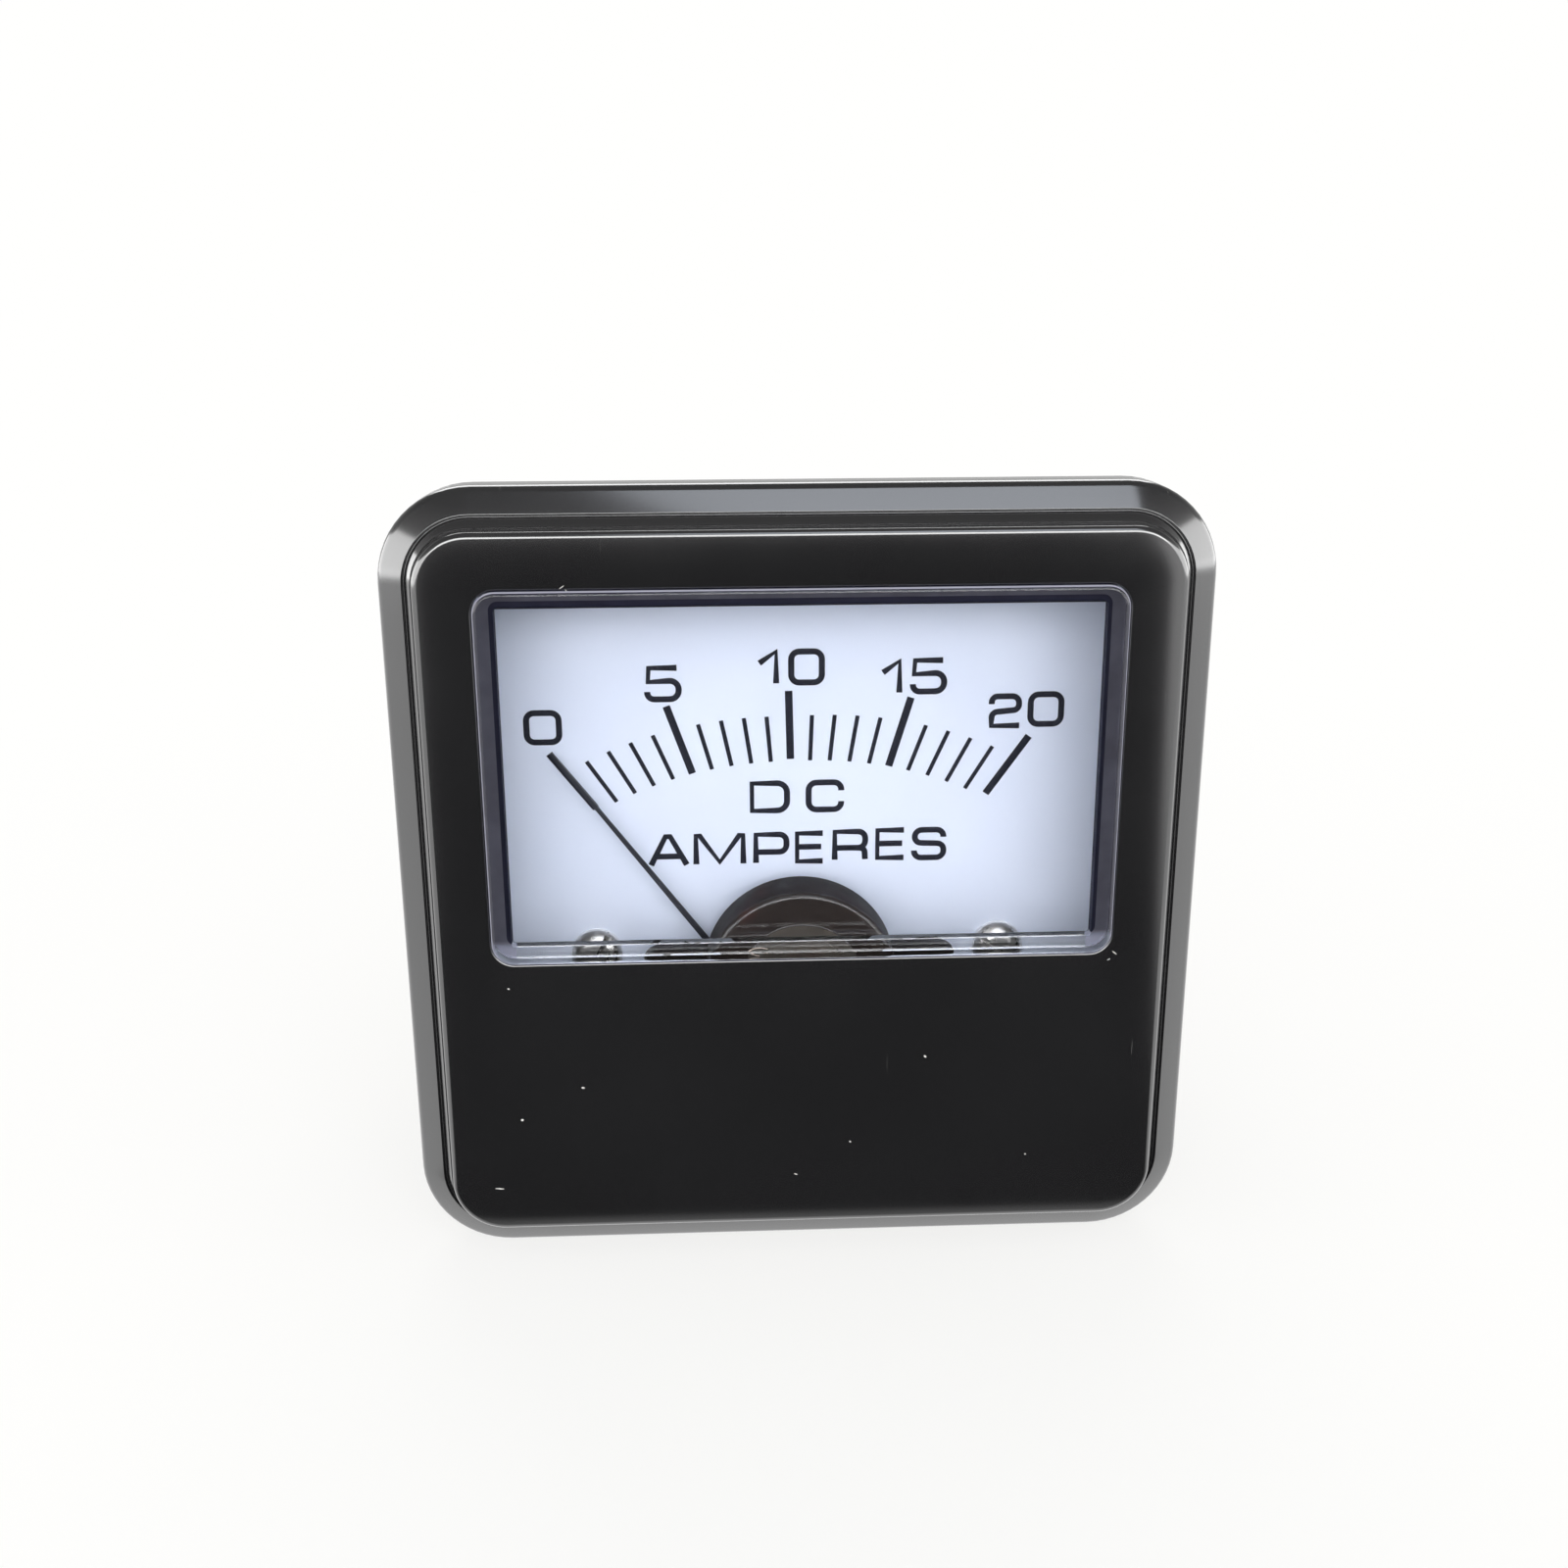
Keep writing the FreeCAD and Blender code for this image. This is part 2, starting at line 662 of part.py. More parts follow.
def make_jewel_screw(label, mouth, sign):
    """Headless screw with a conical cup that faces the staff. sign is -1 at the front."""
    body = new_body(label)
    far = "%s + (%d) * jewel_length" % (mouth, sign)
    apex = "%s + (%d) * cup_depth" % (mouth, sign)
    turn(body, "screw", [(far, "0"), (far, "jewel_radius"), (mouth, "jewel_radius"),
                         (mouth, "cup_radius"), (apex, "0")], up="-pivot_drop")
    return body


def make_magnet():
    made = block("magnet", ("-pole_inner", "pole_inner"), (FRAME_BACK, POLE_BACK),
                 ("pole_top - magnet_height", "pole_top"))
    made.Label = "magnet"
    return made


def make_pole_pieces():
    """Two soft iron cheeks that lead from the magnet's ends to the bore round the coil."""
    body = new_body("pole_piece_right")
    shoe = "-pivot_drop"
    pad(body, "cheek", FRAME_BACK, POLE_BACK,
        (outline, ([("pole_inner", "pole_top"), ("pole_inner", shoe + " + pole_waist"),
                    ("horn_inner", shoe + " + pole_waist"), ("horn_inner", shoe + " - pole_waist"),
                    ("pole_outer - pole_corner", shoe + " - pole_waist"),
                    ("pole_outer", shoe + " - pole_waist + pole_corner"),
                    ("pole_outer", "pole_top")],)))
    pocket(body, "bore", FRAME_BACK, POLE_BACK, (circle, ("0", "-pivot_drop", POLE_BORE)))
    return mirrored_pair("pole_pieces", body)


def make_core():
    made = rod("core", "0", "-pivot_drop", CORE_FRONT, CORE_BACK, "core_radius")
    made.Label = "core"
    return made


def make_core_holder():
    """Brass tee between the pole pieces: the stem reaches down to the core."""
    body = new_body("core_holder")
    top = "pole_top - magnet_height"
    seat = "sqrt(core_radius^2 - holder_width^2 / 4) - pivot_drop"
    pad(body, "tee", POLE_MIDDLE + " - holder_length / 2", POLE_MIDDLE + " + holder_length / 2",
        (outline, ([("holder_width / 2", seat), ("holder_width / 2", top + " - holder_bar"),
                    ("pole_inner", top + " - holder_bar"), ("pole_inner", top),
                    ("-pole_inner", top), ("-pole_inner", top + " - holder_bar"),
                    ("-holder_width / 2", top + " - holder_bar"), ("-holder_width / 2", seat)],)))
    pocket(body, "core_seat", POLE_MIDDLE + " - holder_length / 2", POLE_MIDDLE + " + holder_length / 2",
           (circle, ("0", "-pivot_drop", "core_radius")))
    return body


def make_rear_bridge():
    """Strap behind the poles on two legs, with the rear jewel's hole."""
    body = new_body("rear_bridge")
    back = REAR_BRIDGE + " + rear_bridge_sheet"
    pad(body, "strap", REAR_BRIDGE, back,
        (rounded_box, ("rear_bridge_half", "rear_bridge_width / 2", "rear_leg_radius", "-pivot_drop")))
    pad(body, "legs", POLE_BACK, REAR_BRIDGE,
        (circle, ("rear_leg_side", "-pivot_drop", "rear_leg_radius")),
        (circle, ("-rear_leg_side", "-pivot_drop", "rear_leg_radius")))
    pocket(body, "jewel_hole", REAR_BRIDGE, back, (circle, ("0", "-pivot_drop", "jewel_radius")))
    return body


def make_hairspring(label, front):
    """Flat spiral of half rings on alternating centres, with a collet round the staff."""
    pitch = number("spring_pitch")
    strip = number("spring_strip")
    height = number("spring_height")
    axis = FreeCAD.Vector(0, 1, 0)
    pivot = FreeCAD.Vector(0, number(front), -number("pivot_drop"))
    inner = number("staff_radius + collet_gap")
    radius = number("spring_start")
    collet = Part.makeCylinder(radius, height, pivot, axis)
    pieces = [collet.cut(Part.makeCylinder(inner, height, pivot, axis))]
    for step in range(SPRING_HALF_TURNS):
        side = 1 if step % 2 == 0 else -1
        drift = pitch / 4 if step else 0
        centre = pivot + FreeCAD.Vector(-side * drift, 0, 0)
        outer = radius + strip / 2 + pitch / 2 * step - drift
        ring = Part.makeCylinder(outer, height, centre, axis)
        ring = ring.cut(Part.makeCylinder(outer - strip, height, centre, axis))
        low = 0 if side > 0 else -2 * outer
        half = Part.makeBox(4 * outer, height, 2 * outer, centre + FreeCAD.Vector(-2 * outer, 0, low))
        pieces.append(ring.common(half))
    made = doc.addObject("Part::Feature", label)
    made.Shape = pieces[0].multiFuse(pieces[1:]).removeSplitter()
    made.Label = label
    return made


def make_pointer_stops():
    """Two pegs on the frame, one past each end of the scale."""
    pegs = []
    for name, angle in (("low", "-stop_low_angle"), ("high", "stop_high_angle")):
        pegs.append(rod("stop_" + name, "stop_orbit * sin(%s)" % angle,
                        "stop_orbit * cos(%s) - pivot_drop" % angle,
                        "-pointer_depth - stop_reach", "frame_front", "stop_radius"))
    return group("pointer_stops", *pegs)


# The turning pieces, drawn about the Y axis with the pointer upright

def make_pointer():
    """Thin tapered blade."""
    body = new_body("pointer")
    pad(body, "blade", "-pointer_depth", "-pointer_depth + pointer_sheet",
        (outline, ([("pointer_root", "hub_radius"), ("pointer_end", "pointer_length"),
                    ("-pointer_end", "pointer_length"), ("-pointer_root", "hub_radius")],)))
    pocket(body, "hub_seat", "-pointer_depth", "-pointer_depth + pointer_sheet",
           (circle, ("0", "0", "hub_radius")))
    return on_pivot(body)


def make_pointer_hub():
    """Turned hub on a flat cross: a tail and two side arms for the balance weights."""
    middle = "(-pointer_depth + pointer_sheet / 2)"
    hub = rod("hub_disc", "0", "0", middle + " - hub_length / 2", middle + " + hub_length / 2", "hub_radius")
    width = ("-arm_width / 2", "arm_width / 2")
    depth = (middle + " - arm_sheet / 2", middle + " + arm_sheet / 2")
    arms = block("hub_arms", ("-side_length", "side_length"), depth, width)
    tail = block("hub_tail", width, depth, ("-tail_length", "0"))
    bore = rod("hub_bore", "0", "0", middle + " - hub_length", middle + " + hub_length", "staff_radius")
    made = cut("pointer_hub", join("hub_blank", hub, arms, tail), bore)
    made.Label = "pointer_hub"
    return on_pivot(made)


def make_balance_weights():
    """Three small square sleeves near the ends of the tail and the side arms."""
    middle = "(-pointer_depth + pointer_sheet / 2)"
    sleeves = []
    for name, length in (("right", "side_length"), ("left", "-side_length"), ("tail", "tail_length")):
        inwards = "+" if name == "left" else "-"
        end = "%s %s arm_width" % (length, inwards)
        start = "%s %s weight_length" % (end, inwards)
        along = (end, start) if name == "left" else (start, end)
        solids = []
        for kind, across, deep in (("sleeve", "weight_half", "weight_half"),
                                   ("hole", "(arm_width / 2 + weight_gap)", "(arm_sheet / 2 + weight_gap)")):
            depth = (middle + " - " + deep, middle + " + " + deep)
            width = ("-" + across, across)
            title = "weight_%s_%s" % (name, kind)
            if name == "tail":
                low, high = "-(%s)" % end, "-(%s)" % start
                solids.append(block(title, width, depth, (low, high)))
            else:
                solids.append(block(title, along, depth, width))
        sleeves.append(cut("weight_" + name, *solids))
    return on_pivot(group("balance_weights", *sleeves))


def make_pivot_staff():
    """Two half shafts with pointed ends, one on each end of the coil."""
    halves = []
    ends = (("front", COIL_FRONT, "-bridge_back - jewel_reach - cup_depth + tip_gap", "+"),
            ("rear", COIL_BACK, REAR_BRIDGE + " - jewel_reach + cup_depth - tip_gap", "-"))
    for name, root, tip, inwards in ends:
        body = new_body("staff_" + name)
        neck = "%s %s staff_tip" % (tip, inwards)
        turn(body, "turned", [(root, "0"), (root, "staff_radius"), (neck, "staff_radius"), (tip, "0")])
        halves.append(body)
    return on_pivot(group("pivot_staff", *halves))


def coil_loop(label, inside, wall, front, back):
    """A rectangular loop round the core, drawn level for an upright pointer."""
    outer = "%s + %s" % (inside, wall)
    half_width = "coil_width / 2"
    solid = block(label + "_blank", ("-(%s)" % outer, outer),
                  ("%s - %s" % (front, wall), "%s + %s" % (back, wall)), ("-" + half_width, half_width))
    room = block(label + "_room", ("-(%s)" % inside, inside), (front, back), ("-" + half_width, half_width))
    made = cut(label, solid, room)
    made.Label = label
    return on_pivot(made)


# Terminals and mounting

def make_shunt_strip():
    """Strip between the studs, arched clear of the floor."""
    body = new_body("shunt_strip")
    floor = CASE_FLOOR
    low = SHUNT_FRONT
    right = [("shunt_arch", floor + " - shunt_rise"), ("shunt_pad", floor), (SHUNT_HALF, floor),
             (SHUNT_HALF, low), ("shunt_pad + shunt_sheet / 2", low),
             ("shunt_arch + shunt_sheet / 2", low + " - shunt_rise")]
    left = [("-(%s)" % u, v) for u, v in reversed(right)]
    bar_pad(body, "strip", "XY_Plane", "shunt_width / 2", right + left)
    pocket(body, "stud_holes", low, floor,
           (circle, ("stud_side", "0", STUD_HOLE)), (circle, ("-stud_side", "0", STUD_HOLE)))
    return body


def make_terminal_studs():
    head_front = SHUNT_FRONT + " - stud_head_rise"
    head = rod("stud_head_right", "stud_side", "0", head_front, SHUNT_FRONT, "stud_head")
    shank = rod("stud_shank_right", "stud_side", "0", SHUNT_FRONT, "stud_length", "stud_radius")
    return mirrored_pair("terminal_studs", join("terminal_stud_right", head, shank))


def ring_pair(label, front, thickness, outer, inner):
    """A pair of plain rings, one on each stud."""
    disc = rod(label + "_disc", "stud_side", "0", front, "%s + %s" % (front, thickness), outer)
    hole = rod(label + "_hole", "stud_side", "0", front, "%s + %s" % (front, thickness), inner)
    return cut(label + "_right", disc, hole)


def make_insulators():
    """Square fibre pads either side of the strap, the rear one with a neck through its hole."""
    hole = "stud_radius + thread_gap"
    width = ("stud_side - insulator_half", "stud_side + insulator_half")
    height = ("-insulator_half", "insulator_half")
    seat = STRAP_FRONT + " - insulator_sheet"
    pad_front = block("insulator_front_pad", width, (seat, STRAP_FRONT), height)
    pad_bore = rod("insulator_front_bore", "stud_side", "0", seat, STRAP_FRONT, hole)
    front = cut("insulator_front_right", pad_front, pad_bore)
    flange = block("insulator_flange", width, (STRAP_BACK, STRAP_BACK + " + insulator_sheet"), height)
    neck = rod("insulator_neck_rod", "stud_side", "0", STRAP_FRONT, STRAP_BACK, "insulator_neck")
    bore = rod("insulator_bore", "stud_side", "0", STRAP_FRONT, STRAP_BACK + " + insulator_sheet", hole)
    rear = cut("insulator_rear_right", join("insulator_rear_blank", flange, neck), bore)
    pair = []
    for part in (front, rear):
        other = doc.addObject("Part::Mirroring", part.Name + "_mirror")
        other.Source = part
        other.Normal = FreeCAD.Vector(1, 0, 0)
        pair += [part, other]
    return group("stud_insulators", *pair)


WASHER_FRONT = STRAP_BACK + " + insulator_sheet"
LOCK_FRONT = WASHER_FRONT + " + washer_sheet"
OUTER_NUT = LOCK_FRONT + " + lock_sheet"
LUG_NUT = OUTER_NUT + " + nut_height + lug_room"


def make_flat_washers():
    ring = ring_pair("flat_washer", WASHER_FRONT, "washer_sheet", "washer_radius", "stud_radius + thread_gap")
    return mirrored_pair("flat_washers", ring)


def make_lock_washers():
    """Split rings."""
    ring = ring_pair("lock_washer", LOCK_FRONT, "lock_sheet", "lock_radius", "stud_radius + thread_gap")
    slot = block("lock_washer_slot", ("stud_side - lock_slot / 2", "stud_side + lock_slot / 2"),
                 (LOCK_FRONT, OUTER_NUT), ("0", "lock_radius + lock_slot"))
    return mirrored_pair("lock_washers", cut("lock_washer_split", ring, slot))


def make_terminal_nuts():
    """Three hexagon nuts on each stud: at the case, behind the strap and at the cable's lug."""
    nuts = []
    for name, front in (("case", "barrel_length"), ("strap", OUTER_NUT), ("lug", LUG_NUT)):
        back = "%s + nut_height" % front
        for side, x in (("right", "stud_side"), ("left", "-stud_side")):
            title = "nut_%s_%s" % (name, side)
            blank = hexagon(title + "_blank", x, "0", front, back, "nut_flats")
            bore = rod(title + "_bore", x, "0", front, back, "stud_radius + thread_gap")
            nuts.append(cut(title, blank, bore))
    return group("terminal_nuts", *nuts)


def make_mounting_bracket():
    """Bent strap over the barrel: feet on the panel's back, crossbar behind the case."""
    body = new_body("mounting_bracket")
    inner = BARREL_OUTER + " + strap_gap"
    outer = inner + " + strap_sheet"
    toe = outer + " + strap_foot"
    bend = "strap_bend"
    outside = "strap_bend + strap_sheet"
    foot_back = "panel_sheet + strap_sheet"
    right = [(inner, STRAP_FRONT, bend), (inner, "panel_sheet", outside), (toe, "panel_sheet"),
             (toe, foot_back), (outer, foot_back, bend), (outer, STRAP_BACK, outside)]
    left = [("-(%s)" % corner[0],) + tuple(corner[1:]) for corner in reversed(right)]
    bar_pad(body, "strap", "XY_Plane", "strap_width / 2", right + left)
    hole = "insulator_neck + strap_hole_gap"
    pocket(body, "stud_holes", STRAP_FRONT, STRAP_BACK,
           (circle, ("stud_side", "0", hole)), (circle, ("-stud_side", "0", hole)))
    return body


def lead(route):
    """A flat ribbon along straight runs with one arc at each corner."""
    half = number("lead_width / 2")
    thick = number("lead_sheet / 2")
    bend = number("lead_bend")
    points = [FreeCAD.Vector(*[number(text) for text in point]) for point in route]
    edges = []
    start = points[0]
    for before, here, after in zip(points, points[1:], points[2:]):
        first, middle, last = corner_cut(here, before, after, bend)
        edges.append(Part.LineSegment(start, first).toShape())
        edges.append(Part.Arc(first, middle, last).toShape())
        start = last
    edges.append(Part.LineSegment(start, points[-1]).toShape())
    corners = [(half, thick), (-half, thick), (-half, -thick), (half, -thick), (half, thick)]
    section = Part.makePolygon([points[0] + FreeCAD.Vector(u, 0, v) for u, v in corners])
    return Part.Wire(edges).makePipeShell([section], True, False)


def make_coil_leads():
    """One lead from each end of the shunt to the outer turn of a hairspring."""
    side = SHUNT_HALF + " - lead_width"
    start = SHUNT_FRONT
    rear = "spring_rear + spring_height / 2"
    front = "-spring_front + spring_height / 2"
    made = doc.addObject("Part::Feature", "coil_leads")
    edge = "shunt_width / 2 - lead_width"
    up = "lead_end_rise - pivot_drop"
    turn_radius = "(spring_start + spring_strip / 2 + spring_pitch * %s)" % LAST_UPPER_TURN
    chord = "sqrt(%s^2 - lead_end_rise^2)" % turn_radius
    right = chord + " - spring_pitch / 4 + lead_joint"
    left = "-(%s + spring_pitch / 4 + lead_joint)" % chord
    to_rear = [(side, start, edge), (side, rear, edge), ("lead_turn_side", rear, up), (right, rear, up)]
    to_front = [("-(%s)" % side, start, edge), ("-(%s)" % side, front, edge), ("-lead_turn_side", front, up),
                (left, front, up)]
    made.Shape = Part.makeCompound([lead(to_rear), lead(to_front)])
    made.Label = "coil_leads"
    return made


def build():
    fill_sheet()
    return [
        make_bezel(),
        make_window(),
        make_rear_case(),
        make_dial_plate(),
        slotted_screw("dial_screws", "dial_screw_side", "dial_screw_drop", DIAL_FRONT,
                      "frame_sheet + dial_sheet"),
        make_front_bridge(),
        slotted_screw("bridge_screws", "bridge_screw_side", "bridge_screw_drop", BRIDGE_FRONT),
        make_movement_frame(),
        slotted_screw("frame_screws", "frame_screw_side", "frame_screw_drop", "frame_front"),
        make_pole_pieces(),
        make_magnet(),
        make_core(),
        make_core_holder(),
        make_rear_bridge(),
        make_jewel_screw("jewel_screw_front", "-bridge_back - jewel_reach", -1),
        make_jewel_screw("jewel_screw_rear", REAR_BRIDGE + " - jewel_reach", 1),
        make_hairspring("hairspring_front", "-spring_front"),
        make_hairspring("hairspring_rear", "spring_rear"),
        make_pointer_stops(),
        make_pointer(),
        make_pointer_hub(),
        make_balance_weights(),
        make_pivot_staff(),
        coil_loop("coil_former", LOOP_HALF, "former_wall", LOOP_FRONT, LOOP_BACK),
        coil_loop("moving_coil", FORMER_HALF, "winding_wall", LOOP_FRONT + " - former_wall",
                  LOOP_BACK + " + former_wall"),
        make_shunt_strip(),
        make_coil_leads(),
        make_terminal_studs(),
        make_terminal_nuts(),
        make_insulators(),
        make_flat_washers(),
        make_lock_washers(),
        make_mounting_bracket(),
    ]


def check_and_write(nodes):
    """Stops on any failed object, then writes one file for each node."""
    doc.recompute()
    failed = [item.Name for item in doc.Objects if "Invalid" in item.State or "Error" in item.State]
    for node in nodes:
        if node.Shape.isNull() or not node.Shape.isValid():
            failed.append(node.Label)
    if failed:
        raise RuntimeError("These objects failed: " + ", ".join(failed))
    os.makedirs("parts", exist_ok=True)
    for node in nodes:
        node.Shape.exportStep("parts/%s.step" % node.Label)
        print(node.Label, len(node.Shape.Solids), round(node.Shape.Volume, 2))


check_and_write(build())
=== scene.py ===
import math

import bmesh
import bpy
from bpy.props import FloatProperty, FloatVectorProperty, IntProperty, PointerProperty
from mathutils import Matrix, Vector


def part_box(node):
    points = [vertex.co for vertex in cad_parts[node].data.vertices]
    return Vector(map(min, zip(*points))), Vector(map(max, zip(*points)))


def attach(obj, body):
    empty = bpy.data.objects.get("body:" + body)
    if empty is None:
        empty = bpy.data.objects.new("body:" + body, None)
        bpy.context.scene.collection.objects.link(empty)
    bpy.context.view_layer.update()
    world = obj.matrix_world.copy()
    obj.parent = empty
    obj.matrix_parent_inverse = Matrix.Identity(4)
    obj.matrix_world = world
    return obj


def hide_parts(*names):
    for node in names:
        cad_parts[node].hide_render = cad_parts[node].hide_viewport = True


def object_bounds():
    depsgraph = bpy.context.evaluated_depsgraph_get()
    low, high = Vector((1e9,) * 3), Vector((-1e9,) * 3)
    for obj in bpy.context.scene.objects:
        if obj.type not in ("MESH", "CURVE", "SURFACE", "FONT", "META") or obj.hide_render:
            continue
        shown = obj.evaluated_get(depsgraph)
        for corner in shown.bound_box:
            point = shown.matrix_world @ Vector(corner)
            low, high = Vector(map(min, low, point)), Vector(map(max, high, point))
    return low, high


# A square panel ammeter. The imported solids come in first, in metres: X right, Z up,
# Y backwards through the panel, with the origin on the barrel's axis at the panel.
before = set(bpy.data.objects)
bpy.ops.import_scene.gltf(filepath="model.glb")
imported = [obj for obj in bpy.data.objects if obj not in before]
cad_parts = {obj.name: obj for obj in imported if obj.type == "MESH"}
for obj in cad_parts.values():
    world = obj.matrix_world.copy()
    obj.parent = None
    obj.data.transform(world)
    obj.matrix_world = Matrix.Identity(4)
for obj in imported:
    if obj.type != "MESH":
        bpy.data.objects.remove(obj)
cad_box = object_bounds()

bl_info = {
    "name": "Panel Ammeter Finish",
    "version": (1, 0, 0),
    "blender": (4, 5, 0),
    "location": "View3D > Sidebar > Ammeter",
    "description": "Bezel, dial print, moulded bridge, terminals and finishes for a square panel ammeter",
    "category": "Object",
}

MM = 0.001
HOUSING = "housing"
PIVOT = Vector((0.0, 0.0, -15.2 * MM))
HEAD = Vector((0.0, 0.0, -7.8 * MM))
DIAL_FRONT = -2.1 * MM
FACE = -11.2 * MM
# Half width, half height and middle of the rectangle on which the window's corner arcs are centred.
WINDOW_CORE = (20.35 * MM, 11.7 * MM, 8.7 * MM)
TERMINALS = (-12.0 * MM, 12.0 * MM)
# Closer vertices than this are one.
MERGE = 0.002 * MM
# What a cut through a mesh takes as lying on its plane.
ON_PLANE = 0.0005 * MM


# Sizes and colours

class BezelSettings(bpy.types.PropertyGroup):
    half: FloatProperty(name="Half width", description="Half the bezel's width at its widest band",
                        default=28.5 * MM, unit="LENGTH")
    corner: FloatProperty(name="Corner radius", description="Radius of the bezel's outer corners",
                          default=6.5 * MM, unit="LENGTH")
    segments: IntProperty(name="Corner segments", description="Faces round each corner", default=14, min=4)
    paint: FloatVectorProperty(name="Paint", description="Black enamel colour", subtype="COLOR",
                               default=(0.0042, 0.0042, 0.0048), size=3)
    dust: FloatVectorProperty(name="Dust", description="Colour of dust and nicks", subtype="COLOR",
                              default=(0.55, 0.54, 0.52), size=3)


class DialSettings(bpy.types.PropertyGroup):
    card: FloatVectorProperty(name="Card", description="Dial plate enamel", subtype="COLOR",
                              default=(0.76, 0.82, 0.97), size=3)
    ink: FloatVectorProperty(name="Ink", description="Printed scale and lettering", subtype="COLOR",
                             default=(0.006, 0.007, 0.016), size=3)
    stroke: FloatProperty(name="Stroke", description="Width of a lettering stroke", default=0.45 * MM,
                          unit="LENGTH")
    minor: FloatProperty(name="Minor mark", description="Width of a minor scale mark", default=0.31 * MM,
                         unit="LENGTH")
    major: FloatProperty(name="Major mark", description="Width of a major scale mark", default=0.55 * MM,
                         unit="LENGTH")
    film: FloatProperty(name="Ink film", description="Height of the ink on the plate", default=0.03 * MM,
                        unit="LENGTH")


class MouldingSettings(bpy.types.PropertyGroup):
    phenolic: FloatVectorProperty(name="Phenolic", description="Dark brown bridge moulding", subtype="COLOR",
                                  default=(0.0095, 0.0060, 0.0048), size=3)
    case: FloatVectorProperty(name="Case", description="Black rear case moulding", subtype="COLOR",
                              default=(0.012, 0.012, 0.013), size=3)
    steps: IntProperty(name="Turning steps", description="Faces round a turned form", default=64, min=16)


class TerminalSettings(bpy.types.PropertyGroup):
    pitch: FloatProperty(name="Thread pitch", description="Pitch of the stud threads", default=0.8 * MM,
                         unit="LENGTH")
    depth: FloatProperty(name="Thread depth", description="Depth of the stud threads", default=0.36 * MM,
                         unit="LENGTH")
    chamfer: FloatProperty(name="Nut chamfer", description="Radius where a nut's corner chamfer starts",
                           default=3.9 * MM, unit="LENGTH")


class StageSettings(bpy.types.PropertyGroup):
    floor: FloatVectorProperty(name="Floor", description="Pale floor colour", subtype="COLOR",
                               default=(0.80, 0.79, 0.77), size=3)
    lens: FloatProperty(name="Lens", description="Camera lens on a 36 mm sensor", default=37.74, min=10.0)


# Materials

def new_finish(name):
    """An empty node material, its tree, its shader and its Object coordinates."""
    finish = bpy.data.materials.new(name)
    finish.use_nodes = True
    tree = finish.node_tree
    tree.nodes.clear()
    output = tree.nodes.new("ShaderNodeOutputMaterial")
    shader = tree.nodes.new("ShaderNodeBsdfPrincipled")
    tree.links.new(shader.outputs["BSDF"], output.inputs["Surface"])
    place = tree.nodes.new("ShaderNodeTexCoord")
    return finish, tree, shader, place.outputs["Object"]


def stretched(tree, coords, scale, turn=(0.0, 0.0, 0.0)):
    """The same coordinates, turned and scaled along each axis."""
    node = tree.nodes.new("ShaderNodeMapping")
    node.inputs["Scale"].default_value = scale
    node.inputs["Rotation"].default_value = turn
    tree.links.new(coords, node.inputs["Vector"])
    return node.outputs["Vector"]


def noise(tree, coords, size, detail=3.0, rough=0.5):
    """Noise whose features are about this many metres across."""
    node = tree.nodes.new("ShaderNodeTexNoise")
    node.inputs["Scale"].default_value = 1.0 / size
    node.inputs["Detail"].default_value = detail
    node.inputs["Roughness"].default_value = rough
    tree.links.new(coords, node.inputs["Vector"])
    return node.outputs["Fac"]


def band(tree, value, low, high, to_low=0.0, to_high=1.0):
    """Maps a range of values onto another, clamped at both ends."""
    node = tree.nodes.new("ShaderNodeMapRange")
    node.inputs["From Min"].default_value = low
    node.inputs["From Max"].default_value = high
    node.inputs["To Min"].default_value = to_low
    node.inputs["To Max"].default_value = to_high
    tree.links.new(value, node.inputs["Value"])
    return node.outputs["Result"]


def product(tree, first, second, operation="MULTIPLY"):
    """Two values multiplied, or joined by another operation, and kept between 0 and 1."""
    node = tree.nodes.new("ShaderNodeMath")
    node.operation = operation
    node.use_clamp = True
    tree.links.new(first, node.inputs[0])
    tree.links.new(second, node.inputs[1])
    return node.outputs["Value"]


def tint(tree, amount, first, second):
    """A colour between two colours. Either one may be another node's colour."""
    node = tree.nodes.new("ShaderNodeMix")
    node.data_type = "RGBA"
    tree.links.new(amount, node.inputs["Factor"])
    for socket, colour in (("A", first), ("B", second)):
        target = next(item for item in node.inputs if item.name == socket and item.type == "RGBA")
        if isinstance(colour, bpy.types.NodeSocket):
            tree.links.new(colour, target)
        else:
            target.default_value = (*colour, 1.0)
    return next(item for item in node.outputs if item.type == "RGBA")


def relief(tree, shader, height, strength, distance):
    """Puts a bump from this height onto the shader."""
    node = tree.nodes.new("ShaderNodeBump")
    node.inputs["Strength"].default_value = strength
    node.inputs["Distance"].default_value = distance
    tree.links.new(height, node.inputs["Height"])
    tree.links.new(node.outputs["Normal"], shader.inputs["Normal"])


def shade(colour, factor):
    """A colour made darker or lighter."""
    return tuple(min(1.0, part * factor) for part in colour)


def speckles(tree, coords, size, amount):
    """Sparse small spots: the centres of cells that a second noise lets through."""
    cells = tree.nodes.new("ShaderNodeTexVoronoi")
    cells.inputs["Scale"].default_value = 1.0 / size
    tree.links.new(coords, cells.inputs["Vector"])
    spot = band(tree, cells.outputs["Distance"], 0.05, 0.09, 1.0, 0.0)
    chosen = band(tree, cells.outputs["Color"], 1.0 - amount, 1.0 - amount + 0.01)
    return product(tree, spot, chosen)


